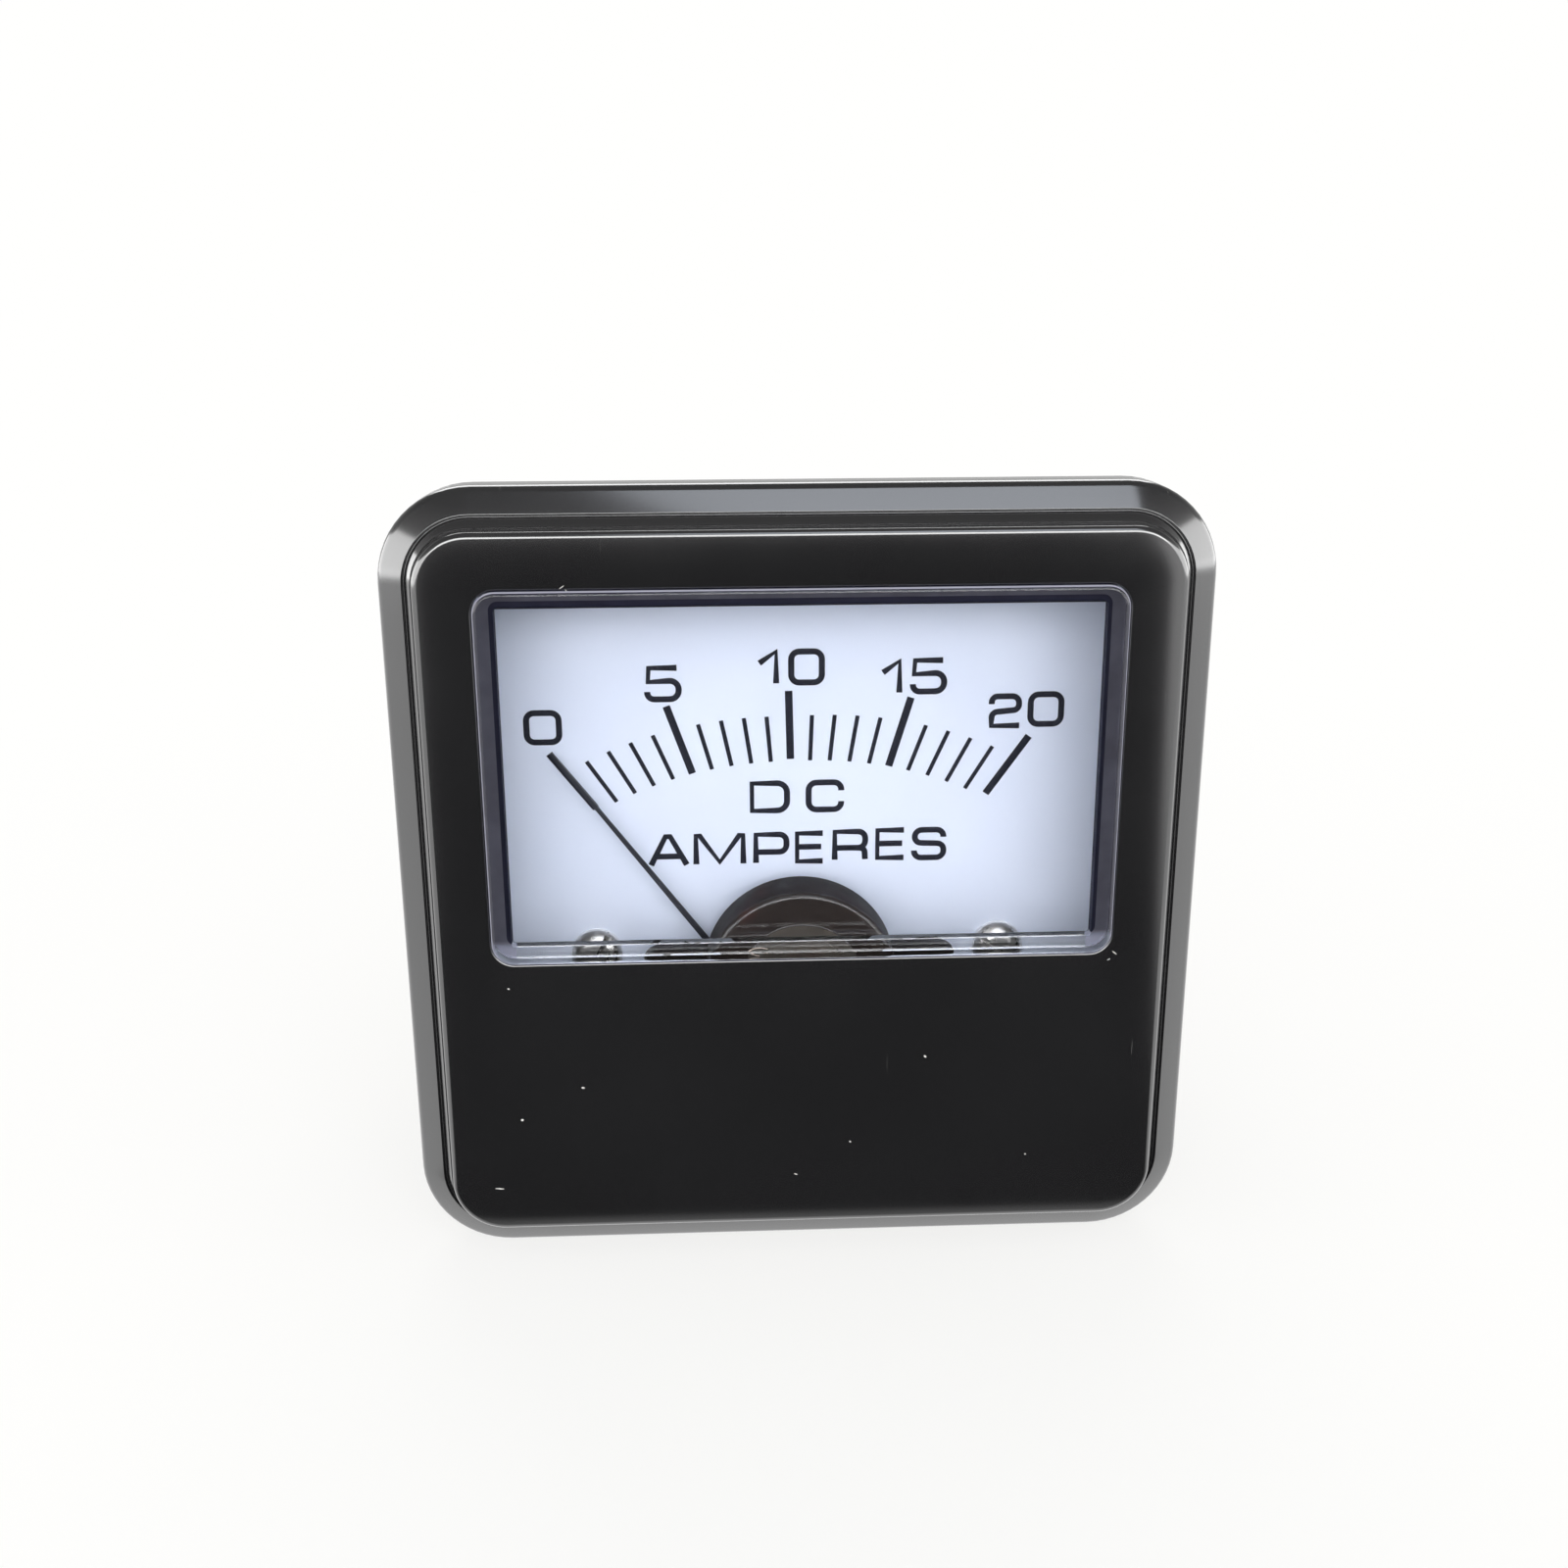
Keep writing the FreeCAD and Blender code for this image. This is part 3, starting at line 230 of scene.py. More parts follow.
def enamel(settings):
    """Gloss black enamel with orange peel, smears, fine dust and hairline scratches."""
    finish, tree, shader, coords = new_finish("bezel_enamel")
    smear = noise(tree, coords, 14.0 * MM, 4.0)
    hair = noise(tree, stretched(tree, coords, (9.0, 1.0, 0.35), (0.0, 0.5, 0.0)), 2.2 * MM, 2.0)
    scratch = band(tree, hair, 0.75, 0.78)
    dust = speckles(tree, coords, 1.9 * MM, 0.16)
    marks = product(tree, dust, scratch, "MAXIMUM")
    wear_and_sheen = product(tree, marks, band(tree, noise(tree, coords, 9.0 * MM), 0.45, 0.75, 0.0, 0.4))
    base = tint(tree, smear, shade(settings.paint, 0.8), shade(settings.paint, 1.35))
    tree.links.new(tint(tree, wear_and_sheen, base, settings.dust), shader.inputs["Base Color"])
    tree.links.new(band(tree, smear, 0.3, 0.7, 0.13, 0.24), shader.inputs["Roughness"])
    shader.inputs["Coat Weight"].default_value = 1.0
    shader.inputs["Coat Roughness"].default_value = 0.13
    shader.inputs["Coat IOR"].default_value = 2.1
    relief(tree, shader, noise(tree, coords, 0.9 * MM, 1.0), 0.04, 0.05 * MM)
    return finish


def moulded(name, colour, rough, mottle, grain, patch=None, skin=0.0, sheen=0.5):
    """A moulded plastic with mottling and a fine grain, under a clear polished skin if it has one."""
    finish, tree, shader, coords = new_finish(name)
    cloud = noise(tree, coords, mottle, 4.0, 0.6)
    base = tint(tree, cloud, shade(colour, 0.7), shade(colour, 1.4))
    if patch:
        blot = band(tree, noise(tree, coords, 5.0 * MM, 2.0), 0.52, 0.68, 0.0, 0.8)
        base = tint(tree, blot, base, patch)
    lint = speckles(tree, coords, 1.3 * MM, 0.10)
    pale = product(tree, lint, band(tree, cloud, 0.3, 0.7, 0.1, 0.35))
    tree.links.new(tint(tree, pale, base, (0.4, 0.38, 0.35)), shader.inputs["Base Color"])
    tree.links.new(band(tree, cloud, 0.3, 0.7, rough * 0.85, rough * 1.2), shader.inputs["Roughness"])
    shader.inputs["Specular IOR Level"].default_value = sheen
    shader.inputs["Coat Weight"].default_value = skin
    shader.inputs["Coat Roughness"].default_value = 0.06
    relief(tree, shader, noise(tree, coords, grain, 2.0), 0.12, 0.03 * MM)
    return finish


def metal(name, colour, rough, grain=(1.0, 1.0, 1.0), tarnish=None, amount=0.5):
    """A bare or plated metal with brushing along one axis and patches of tarnish."""
    finish, tree, shader, coords = new_finish(name)
    brush = noise(tree, stretched(tree, coords, grain), 0.25 * MM, 3.0)
    cloud = noise(tree, coords, 3.0 * MM, 4.0, 0.6)
    base = tint(tree, brush, shade(colour, 0.86), shade(colour, 1.08))
    spots = band(tree, cloud, 0.5, 0.78, 0.0, amount)
    tree.links.new(tint(tree, spots, base, tarnish or shade(colour, 0.55)), shader.inputs["Base Color"])
    tree.links.new(band(tree, cloud, 0.3, 0.75, rough * 0.8, rough * 1.5), shader.inputs["Roughness"])
    shader.inputs["Metallic"].default_value = 1.0
    relief(tree, shader, brush, 0.08, 0.02 * MM)
    return finish


def dial_enamel(settings):
    """Pale cool white dial enamel with a faint mottle and a few specks."""
    finish, tree, shader, coords = new_finish("dial_enamel")
    cloud = noise(tree, coords, 8.0 * MM, 3.0)
    base = tint(tree, cloud, shade(settings.card, 0.95), shade(settings.card, 1.04))
    lint = product(tree, speckles(tree, coords, 1.7 * MM, 0.05), band(tree, cloud, 0.2, 0.8, 0.2, 0.5))
    tree.links.new(tint(tree, lint, base, (0.95, 0.95, 1.0)), shader.inputs["Base Color"])
    tree.links.new(band(tree, cloud, 0.3, 0.7, 0.38, 0.5), shader.inputs["Roughness"])
    relief(tree, shader, noise(tree, coords, 0.5 * MM, 2.0), 0.05, 0.02 * MM)
    return finish


def print_ink(settings):
    """Printed ink, slightly thin in places."""
    finish, tree, shader, coords = new_finish("dial_ink")
    thin = noise(tree, coords, 0.35 * MM, 3.0)
    tree.links.new(tint(tree, band(tree, thin, 0.55, 0.85, 0.0, 0.35), settings.ink, (0.04, 0.045, 0.07)),
                   shader.inputs["Base Color"])
    tree.links.new(band(tree, thin, 0.3, 0.7, 0.5, 0.65), shader.inputs["Roughness"])
    shader.inputs["Specular IOR Level"].default_value = 0.25
    return finish


def clear_plastic():
    """Clear moulded acrylic with a little haze. Lamplight passes it without a dark shadow."""
    finish, tree, shader, coords = new_finish("window_acrylic")
    haze = noise(tree, coords, 6.0 * MM, 3.0)
    tree.links.new(tint(tree, haze, (0.95, 0.97, 1.0), (0.99, 0.99, 1.0)), shader.inputs["Base Color"])
    tree.links.new(band(tree, haze, 0.3, 0.7, 0.0, 0.03), shader.inputs["Roughness"])
    shader.inputs["IOR"].default_value = 1.49
    shader.inputs["Transmission Weight"].default_value = 1.0
    relief(tree, shader, noise(tree, coords, 7.0 * MM, 1.0), 0.03, 0.04 * MM)
    rays = tree.nodes.new("ShaderNodeLightPath")
    tree.links.new(band(tree, rays.outputs["Is Shadow Ray"], 0.0, 1.0, 1.0, 0.08), shader.inputs["Alpha"])
    return finish


def painted_window_light(name, upper, lower):
    """Painted light on the window: an opaque colour that stands in for how a clear part looks, such as the
    dim look of a clear wall on black, painted lighter along the window's lower edge.
    """
    finish, tree, shader, coords = new_finish(name)
    parts = tree.nodes.new("ShaderNodeSeparateXYZ")
    tree.links.new(coords, parts.inputs["Vector"])
    # Painted light: below the window's lower edge the colour turns from the upper colour to the lower one.
    low = band(tree, parts.outputs["Z"], -3.9 * MM, -3.3 * MM, 1.0, 0.0)
    haze = band(tree, noise(tree, coords, 2.0 * MM, 3.0), 0.3, 0.7, 0.0, 0.25)
    base = tint(tree, low, upper, lower)
    tree.links.new(tint(tree, haze, base, shade(lower, 0.6)), shader.inputs["Base Color"])
    shader.inputs["Roughness"].default_value = 0.6
    shader.inputs["Specular IOR Level"].default_value = 0.1
    return finish


def wound_wire():
    """Enamelled copper windings, with a ridge for each turn and painted shade in the grooves between turns.
    """
    finish, tree, shader, coords = new_finish("coil_copper")
    turns = tree.nodes.new("ShaderNodeTexWave")
    turns.bands_direction = "Y"
    turns.inputs["Scale"].default_value = 3500.0
    tree.links.new(coords, turns.inputs["Vector"])
    # Painted shade: the colour follows the ridges' waves and darkens in the grooves between turns.
    tree.links.new(tint(tree, turns.outputs["Fac"], (0.30, 0.09, 0.03), (0.72, 0.30, 0.13)),
                   shader.inputs["Base Color"])
    tree.links.new(band(tree, noise(tree, coords, 1.0 * MM), 0.3, 0.7, 0.25, 0.4), shader.inputs["Roughness"])
    shader.inputs["Metallic"].default_value = 0.9
    relief(tree, shader, turns.outputs["Fac"], 0.4, 0.05 * MM)
    return finish


def fibre():
    """Vulcanised fibre washers: red-brown with short pressed fibres."""
    finish, tree, shader, coords = new_finish("washer_fibre")
    strands = noise(tree, stretched(tree, coords, (1.0, 6.0, 1.6)), 0.5 * MM, 5.0, 0.7)
    tree.links.new(tint(tree, strands, (0.12, 0.028, 0.018), (0.34, 0.10, 0.06)), shader.inputs["Base Color"])
    tree.links.new(band(tree, strands, 0.3, 0.7, 0.55, 0.75), shader.inputs["Roughness"])
    relief(tree, shader, strands, 0.3, 0.05 * MM)
    return finish


def dress(node_name, finish):
    """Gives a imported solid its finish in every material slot."""
    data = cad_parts[node_name].data
    if not data.materials:
        data.materials.append(finish)
    for index in range(len(data.materials)):
        data.materials[index] = finish


# Mesh helpers

def finished(name, shape, finishes, sharp=35.0, stands_for=()):
    """Turns a bmesh into a riding piece with its edges sharp only past an angle."""
    data = bpy.data.meshes.new(name)
    bmesh.ops.remove_doubles(shape, verts=shape.verts, dist=MERGE)
    bmesh.ops.recalc_face_normals(shape, faces=shape.faces)
    shape.to_mesh(data)
    shape.free()
    data.shade_smooth()
    data.set_sharp_from_angle(angle=math.radians(sharp))
    for finish in finishes:
        data.materials.append(finish)
    piece = bpy.data.objects.new(name, data)
    bpy.context.scene.collection.objects.link(piece)
    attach(piece, HOUSING)
    if stands_for:
        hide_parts(*stands_for)


def rounded_profile(corners, closed=True, steps=6):
    """Points along an outline whose corners (u, v, radius) are rounded by arcs."""
    points = []
    count = len(corners)
    for index, corner in enumerate(corners):
        here = Vector(corner[:2])
        if len(corner) == 2 or (not closed and index in (0, count - 1)):
            points.append(here)
            continue
        back = (Vector(corners[index - 1][:2]) - here).normalized()
        ahead = (Vector(corners[(index + 1) % count][:2]) - here).normalized()
        half = back.angle(ahead) / 2
        centre = here + (back + ahead).normalized() * (corner[2] / math.sin(half))
        start = here + back * (corner[2] / math.tan(half)) - centre
        finish = here + ahead * (corner[2] / math.tan(half)) - centre
        sweep = start.angle_signed(finish)
        for step in range(steps + 1):
            points.append(centre + Matrix.Rotation(-sweep * step / steps, 2) @ start)
    return points


def rounded_face(shape, half_u, half_v, radius, segments, y, middle=0.0):
    """A rounded rectangle in the XZ plane at depth y, as one face."""
    made = bmesh.ops.create_circle(shape, cap_ends=True, segments=4, radius=1.0)
    for vert in made["verts"]:
        side = 1.0 if vert.co.x + vert.co.y > 0 else -1.0
        rise = 1.0 if vert.co.x - vert.co.y > 0 else -1.0
        vert.co = Vector((side * half_u, y, rise * half_v + middle))
    bmesh.ops.bevel(shape, geom=made["verts"], offset=radius, offset_type="OFFSET", segments=segments,
                    profile=0.5, affect="VERTICES", material=-1)
    shape.faces.ensure_lookup_table()
    return shape.faces[-1]


def lathe(shape, profile, centre, steps):
    """Turns (radius, depth) points about an axis along Y."""
    verts = [shape.verts.new((centre.x + radius, depth, centre.z)) for radius, depth in profile]
    edges = [shape.edges.new(pair) for pair in zip(verts, verts[1:])]
    bmesh.ops.spin(shape, geom=verts + edges, cent=centre, axis=(0.0, 1.0, 0.0), dvec=(0.0, 0.0, 0.0),
                   angle=math.tau, steps=steps, use_merge=True, use_duplicate=False)


def fresh_ring(made):
    """The new vertices of an extruded ring, and the edges that run round it."""
    verts = [item for item in made if isinstance(item, bmesh.types.BMVert)]
    fresh = set(verts)
    return verts, [item for item in made if isinstance(item, bmesh.types.BMEdge) and set(item.verts) <= fresh]


def outward(vert, core_u, core_v, middle):
    """The direction from the nearest corner arc's centre to this vertex."""
    side = 1.0 if vert.co.x > 0 else -1.0
    rise = 1.0 if vert.co.z > middle else -1.0
    centre = Vector((side * core_u, vert.co.y, middle + rise * core_v))
    return (vert.co - centre).normalized()


def next_ring(shape, ring, core, outset, depth):
    """Extrudes a rounded rectangle's edges, moving them out along its arcs and to this depth."""
    verts, edges = fresh_ring(bmesh.ops.extrude_edge_only(shape, edges=ring)["geom"])
    for vert in verts:
        vert.co += outward(vert, *core) * outset
        vert.co.y = depth
    return edges


def swept_rings(shape, ring, core, profile):
    """Carries a ring along (half width, depth) points. Returns the last ring."""
    for before, after in zip(profile, profile[1:]):
        ring = next_ring(shape, ring, core, after[0] - before[0], after[1])
    return ring


def open_ring(shape, half_u, half_v, radius, segments, depth, middle=0.0):
    """The edges of a rounded rectangle, with no face in it."""
    face = rounded_face(shape, half_u, half_v, radius, segments, depth, middle)
    ring = list(face.edges)
    bmesh.ops.delete(shape, geom=[face], context="FACES_ONLY")
    return ring


def millimetres(corners):
    """Corners written in millimetres, in metres."""
    return [tuple(number * MM for number in corner) for corner in corners]


class AMMETER_OT_bezel(bpy.types.Operator):
    """Smooth stepped bezel with its folded hem and window opening"""
    bl_idname = "ammeter.bezel"
    bl_label = "Bezel"

    def execute(self, context):
        settings = context.scene.ammeter_bezel
        rim = rounded_profile(millimetres([
            (24.0, -10.4), (24.95, -10.4), (25.2, -8.5, 0.3), (27.7, -7.55, 0.4), (27.7, -6.6, 0.1),
            (26.85, -6.6, 0.1), (26.85, -5.8, 0.15), (28.5, -5.8, 0.35), (28.5, -8.35, 0.8),
            (26.7, -9.3, 0.08), (26.575, -9.1, 0.06), (26.45, -9.3, 0.08), (26.0, -9.9, 0.9),
            (25.75, -11.2, 0.45), (24.0, -11.2)]), closed=False)
        shape = bmesh.new()
        core = settings.half - settings.corner
        start = rim[0].x
        first = open_ring(shape, start, start, start - core, settings.segments, rim[0].y)
        last = swept_rings(shape, first, (core, core, 0.0), rim)
        opening = millimetres([(1.75, -11.2), (1.67, -11.185), (1.61, -11.13), (1.60, -11.05), (1.60, -10.4)])
        radius = opening[0][0]
        front = open_ring(shape, WINDOW_CORE[0] + radius, WINDOW_CORE[1] + radius, radius, settings.segments,
                          FACE, WINDOW_CORE[2])
        rear = swept_rings(shape, front, WINDOW_CORE, opening)
        bmesh.ops.bridge_loops(shape, edges=last + front)
        bmesh.ops.bridge_loops(shape, edges=first + rear)
        finished("bezel_cover", shape, [enamel(settings)], stands_for=("bezel",))
        return {"FINISHED"}


class AMMETER_OT_window(bpy.types.Operator):
    """Clear window tray with a rounded front edge that carries a painted highlight, and a dim wall of painted
    shade
    """
    bl_idname = "ammeter.window"
    bl_label = "Window"

    def execute(self, context):
        shape = bmesh.new()
        segments = context.scene.ammeter_bezel.segments
        core = WINDOW_CORE
        edge = rounded_profile(millimetres([
            (1.1, -11.5), (1.54, -11.5, 0.3), (1.54, -10.4), (3.14, -10.4, 0.15), (3.14, -9.4, 0.15),
            (1.54, -9.4), (1.54, -9.0), (0.64, -9.0), (0.24, -9.0), (0.24, -9.9)]), closed=False)
        start = edge[0].x
        front = rounded_face(shape, core[0] + start, core[1] + start, start, segments, edge[0].y, core[2])
        last = swept_rings(shape, list(front.edges), core, edge)
        bmesh.ops.contextual_create(shape, geom=last)
        # The lower wall is thinner than the other three.
        drop = 0.3 * MM
        for vert in {vert for ring in last for vert in ring.verts if vert.co.z < core[2]}:
            vert.co.z -= drop
            for rear in (link.other_vert(vert) for link in vert.link_edges):
                if rear.co.y > vert.co.y + 0.5 * MM:
                    rear.co.z -= drop
        # Painted light: the wall's rear end and its inner face take opaque dark colours, a painted shade for
        # what is seen through the clear wall, except on the straight rear end along the lower edge, which
        # stays clear; the rounded front edge takes a pale colour, a painted highlight.
        for face in shape.faces:
            middle = face.calc_center_median()
            beside = max(abs(middle.x) - core[0], 0.0)
            out = math.hypot(beside, max(abs(middle.z - core[2]) - core[1], 0.0))
            if middle.y > -9.01 * MM:
                if beside or middle.z > core[2]:
                    face.material_index = 1 if out < 0.6 * MM else 2
            elif middle.y > -9.85 * MM and out < 0.3 * MM:
                face.material_index = 1
            elif middle.y < -11.2 * MM and out > 1.46 * MM:
                face.material_index = 3
        line = painted_window_light("window_inner_line_painted_shade", (0.016, 0.016, 0.035), (0.008, 0.012, 0.030))
        wall = painted_window_light("window_wall", (0.080, 0.078, 0.100), (0.30, 0.31, 0.40))
        arris = painted_window_light("window_arris_painted_highlight", (0.30, 0.30, 0.36), (0.52, 0.53, 0.68))
        finished("window_tray", shape, [clear_plastic(), line, wall, arris],
                 stands_for=("window",))
        return {"FINISHED"}


# Dial print

# Each character's strokes: whether a stroke is closed, and its corners (across, up, radius) as shares
# of the character's width and height.
GLYPHS = {
    "0": [(True, [(0, 0, 0.26), (0, 1, 0.26), (1, 1, 0.26), (1, 0, 0.26)])],
    "1": [(False, [(0, 0.64), (0.92, 1.0), (0.92, 0)])],
    "2": [(False, [(0.02, 0.74), (0.02, 1, 0.2), (0.97, 1, 0.24), (0.97, 0.54, 0.2), (0.03, 0.46, 0.2),
                   (0.03, 0), (1, 0)])],
    "5": [(False, [(0.95, 1), (0.06, 1), (0.03, 0.56), (1, 0.6, 0.28), (1, 0, 0.28), (0, 0, 0.22),
                   (0, 0.24)])],
    "D": [(True, [(0, 0), (0, 1), (1, 1, 0.34), (1, 0, 0.34)])],
    "C": [(False, [(1, 0.7), (1, 1, 0.26), (0, 1, 0.28), (0, 0, 0.28), (1, 0, 0.26), (1, 0.3)])],
    "A": [(False, [(0, 0), (0.42, 1), (0.55, 1), (1, 0)]), (False, [(0.17, 0.3), (0.83, 0.3)])],
    "M": [(False, [(0.02, 0), (0.02, 1), (0.1, 1), (0.5, 0.06), (0.9, 1), (0.98, 1), (0.98, 0)])],
    "P": [(False, [(0, 0), (0, 1), (1, 1, 0.24), (1, 0.38, 0.24), (0, 0.38)])],
    "E": [(False, [(1, 1), (0, 1), (0, 0), (1, 0)]), (False, [(0, 0.52), (0.94, 0.52)])],
    "R": [(False, [(0, 0), (0, 1), (1, 1, 0.24), (1, 0.42, 0.24), (0, 0.42)]),
          (False, [(0.6, 0.42), (0.98, 0.4, 0.16), (1, 0)])],
    "S": [(False, [(0.97, 0.74), (0.97, 1, 0.24), (0.02, 1, 0.24), (0.02, 0.54, 0.22), (0.98, 0.5, 0.22),
                   (0.98, 0, 0.24), (0, 0, 0.24), (0, 0.26)])],
}

# Each character's lower left corner, width and height on the plate, in millimetres.
LETTERING = [
    ("0", -19.70, 9.25, 2.35, 2.2), ("5", -10.88, 12.35, 2.28, 2.32), ("1", -2.75, 13.42, 1.32, 2.35),
    ("0", -0.44, 13.45, 2.22, 2.3), ("1", 6.22, 12.6, 1.32, 2.35), ("5", 8.42, 12.65, 2.28, 2.32),
    ("2", 14.2, 9.98, 2.12, 2.22), ("0", 17.12, 10.07, 2.26, 2.24), ("D", -3.38, 3.72, 2.60, 2.12),
    ("C", 0.82, 3.74, 2.42, 2.1), ("A", -10.96, -0.42, 2.66, 2.24), ("M", -7.66, -0.40, 3.66, 2.22),
    ("P", -3.12, -0.38, 2.28, 2.22), ("E", -0.04, -0.32, 1.92, 2.2), ("R", 2.78, -0.24, 2.28, 2.2),
    ("E", 5.98, -0.16, 1.98, 2.18), ("S", 8.74, -0.20, 2.26, 2.2),
]

# The scale has 21 marks. The middle one leans by the first angle, and the others follow by the second.
MIDDLE_MARK = 10
SCALE_LEAN = -1.3
SCALE_STEP = 3.63
# Where each kind of mark starts and ends, in millimetres from the pivot: at the middle of the scale,
# how much more at its ends, and the power by which that grows.
MARK_REACH = {
    "minor": ((22.75, 1.35, 1.6), (26.15, 1.75, 1.4)),
    "major": ((22.9, 1.5, 2.2), (28.05, 1.7, 1.5)),
}


def inked(name, strokes, width, film, finish):
    """Round-ended ink strokes on the dial plate, each a list of points in the plate's plane."""
    line = bpy.data.curves.new(name, "CURVE")
    line.dimensions = "3D"
    line.bevel_depth = width / 2
    line.bevel_resolution = 2
    line.use_fill_caps = True
    for closed, points in strokes:
        spline = line.splines.new("POLY")
        spline.points.add(len(points) - 1)
        for target, point in zip(spline.points, points):
            target.co = (point[0], 0.0, point[1], 1.0)
        spline.use_cyclic_u = closed
    source = bpy.data.objects.new(name + "_line", line)
    bpy.context.scene.collection.objects.link(source)
    bpy.context.view_layer.update()
    data = bpy.data.meshes.new_from_object(source.evaluated_get(bpy.context.evaluated_depsgraph_get()))
    bpy.data.objects.remove(source)
    data.name = name
    for vert in data.vertices:
        vert.co.y = DIAL_FRONT + film * (2.0 * vert.co.y / width - 0.5)
    data.materials.clear()
    data.materials.append(finish)
    piece = bpy.data.objects.new(name, data)
    bpy.context.scene.collection.objects.link(piece)
    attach(piece, HOUSING)


class AMMETER_OT_print(bpy.types.Operator):
    """Scale marks, numbers and unit lettering printed on the dial plate"""
    bl_idname = "ammeter.print"
    bl_label = "Dial print"

    def execute(self, context):
        settings = context.scene.ammeter_dial
        ink = print_ink(settings)
        strokes = []
        for character, left, low, wide, tall in LETTERING:
            for closed, corners in GLYPHS[character]:
                placed = [(left + corner[0] * wide, low + corner[1] * tall,
                           *(radius * min(wide, tall) for radius in corner[2:])) for corner in corners]
                strokes.append((closed, rounded_profile(millimetres(placed), closed)))
        inked("dial_lettering", strokes, settings.stroke, settings.film, ink)
        marks = {"minor": [], "major": []}
        foot = Vector((PIVOT.x, PIVOT.z))
        for count in range(2 * MIDDLE_MARK + 1):
            angle = math.radians(SCALE_LEAN + SCALE_STEP * (count - MIDDLE_MARK))
            lift = abs(count - MIDDLE_MARK) / MIDDLE_MARK
            kind = "minor" if count % 5 else "major"
            ray = Vector((math.sin(angle), math.cos(angle)))
            marks[kind].append((False, [foot + ray * (reach + more * lift ** power) * MM
                                        for reach, more, power in MARK_REACH[kind]]))
        inked("scale_minor_marks", marks["minor"], settings.minor, settings.film, ink)
        inked("scale_major_marks", marks["major"], settings.major, settings.film, ink)
        return {"FINISHED"}


class AMMETER_OT_bridge(bpy.types.Operator):
    """Moulded front bridge with its rounded head and low boss"""
    bl_idname = "ammeter.bridge"
    bl_label = "Front bridge"

    def execute(self, context):
        settings = context.scene.ammeter_moulding
        shape = bmesh.new()
        head = rounded_profile(millimetres([(0, -8.7), (4.1, -8.7, 0.2), (4.7, -7.9, 0.15), (7.1, -7.9, 0.45),
                                            (7.1, -4.1, 0.2), (0, -4.1)]), closed=False)
        lathe(shape, head, HEAD, settings.steps)
        boss = rounded_profile(millimetres([(1.25, -4.1), (1.25, -6.6, 0.1), (2.6, -6.6, 0.3), (2.6, -4.1)]),
                               closed=False)
        lathe(shape, boss, PIVOT, settings.steps)
        core = (10.4 * MM, 5.0 * MM, -12.0 * MM)
        bar = rounded_profile(millimetres([(0.9, -5.7), (1.2, -5.7, 0.25), (1.2, -4.1, 0.1), (0.9, -4.1)]),
                              closed=False, steps=4)
        face = rounded_face(shape, core[0] + bar[0].x, core[1] + bar[0].x, bar[0].x, 8, bar[0].y, core[2])
        rear = swept_rings(shape, list(face.edges), core, bar)
        bmesh.ops.contextual_create(shape, geom=rear)
        bmesh.ops.recalc_face_normals(shape, faces=shape.faces)
        for face in shape.faces:
            centre = face.calc_center_median()
            reach = math.hypot(centre.x - HEAD.x, centre.z - HEAD.z)
            if centre.y > -5.8 * MM or abs(face.normal.y) < 0.2:
                face.material_index = 1
            elif reach < 4.65 * MM:
                face.material_index = 2
        red = (0.030, 0.008, 0.006)
        polished = moulded("bridge_phenolic", settings.phenolic, 0.4, 2.6 * MM, 0.3 * MM, red, 1.0, 0.15)
        matt = moulded("bridge_phenolic_matt", settings.phenolic, 0.6, 2.6 * MM, 0.3 * MM, red, 0.0, 0.2)
        # Painted sheen: the raised middle of the head's front is coloured paler than the rest of the
        # moulding, for the pale sheen on it.
        wear_and_sheen = moulded("bridge_boss_painted_sheen", (0.036, 0.029, 0.022), 0.5, 1.4 * MM, 0.3 * MM, red)
        finished("bridge_moulding", shape, [polished, matt, wear_and_sheen],
                 stands_for=("front_bridge",))
        return {"FINISHED"}


def slotted_dome(shape, x, z, turn):
    """A domed slotted screw head on the dial plate, with its shank."""
    own = bmesh.new()
    profile = rounded_profile(millimetres([(0, -3.2), (1.35, -3.18, 1.2), (1.9, -2.45, 0.25), (1.9, -2.1),
                                           (0.9, -2.1), (0.9, 2.4), (0, 2.4)]), closed=False)
    lathe(own, profile, Vector((0.0, 0.0, 0.0)), 40)
    bmesh.ops.remove_doubles(own, verts=own.verts, dist=MERGE)
    # The slot's half width, and the depth of its floor.
    half = 0.2 * MM
    floor = -2.7 * MM
    cuts = (((-half, 0.0, 0.0), (1.0, 0.0, 0.0)), ((half, 0.0, 0.0), (1.0, 0.0, 0.0)),
            ((0.0, floor, 0.0), (0.0, 1.0, 0.0)))
    for place, normal in cuts:
        bmesh.ops.bisect_plane(own, geom=own.verts[:] + own.edges[:] + own.faces[:], dist=ON_PLANE,
                               plane_co=place, plane_no=normal)
    inside = [face for face in own.faces
              if abs(face.calc_center_median().x) < half and face.calc_center_median().y < floor]
    sunk = bmesh.ops.extrude_face_region(own, geom=inside)["geom"]
    bmesh.ops.delete(own, geom=inside, context="FACES")
    for item in sunk:
        if isinstance(item, bmesh.types.BMVert):
            item.co.y = floor
    bmesh.ops.transform(own, matrix=Matrix.Translation((x, 0.0, z)) @ Matrix.Rotation(turn, 4, "Y"),
                        verts=own.verts)
    carried = bpy.data.meshes.new("screw_head")
    own.to_mesh(carried)
    own.free()
    shape.from_mesh(carried)
    bpy.data.meshes.remove(carried)


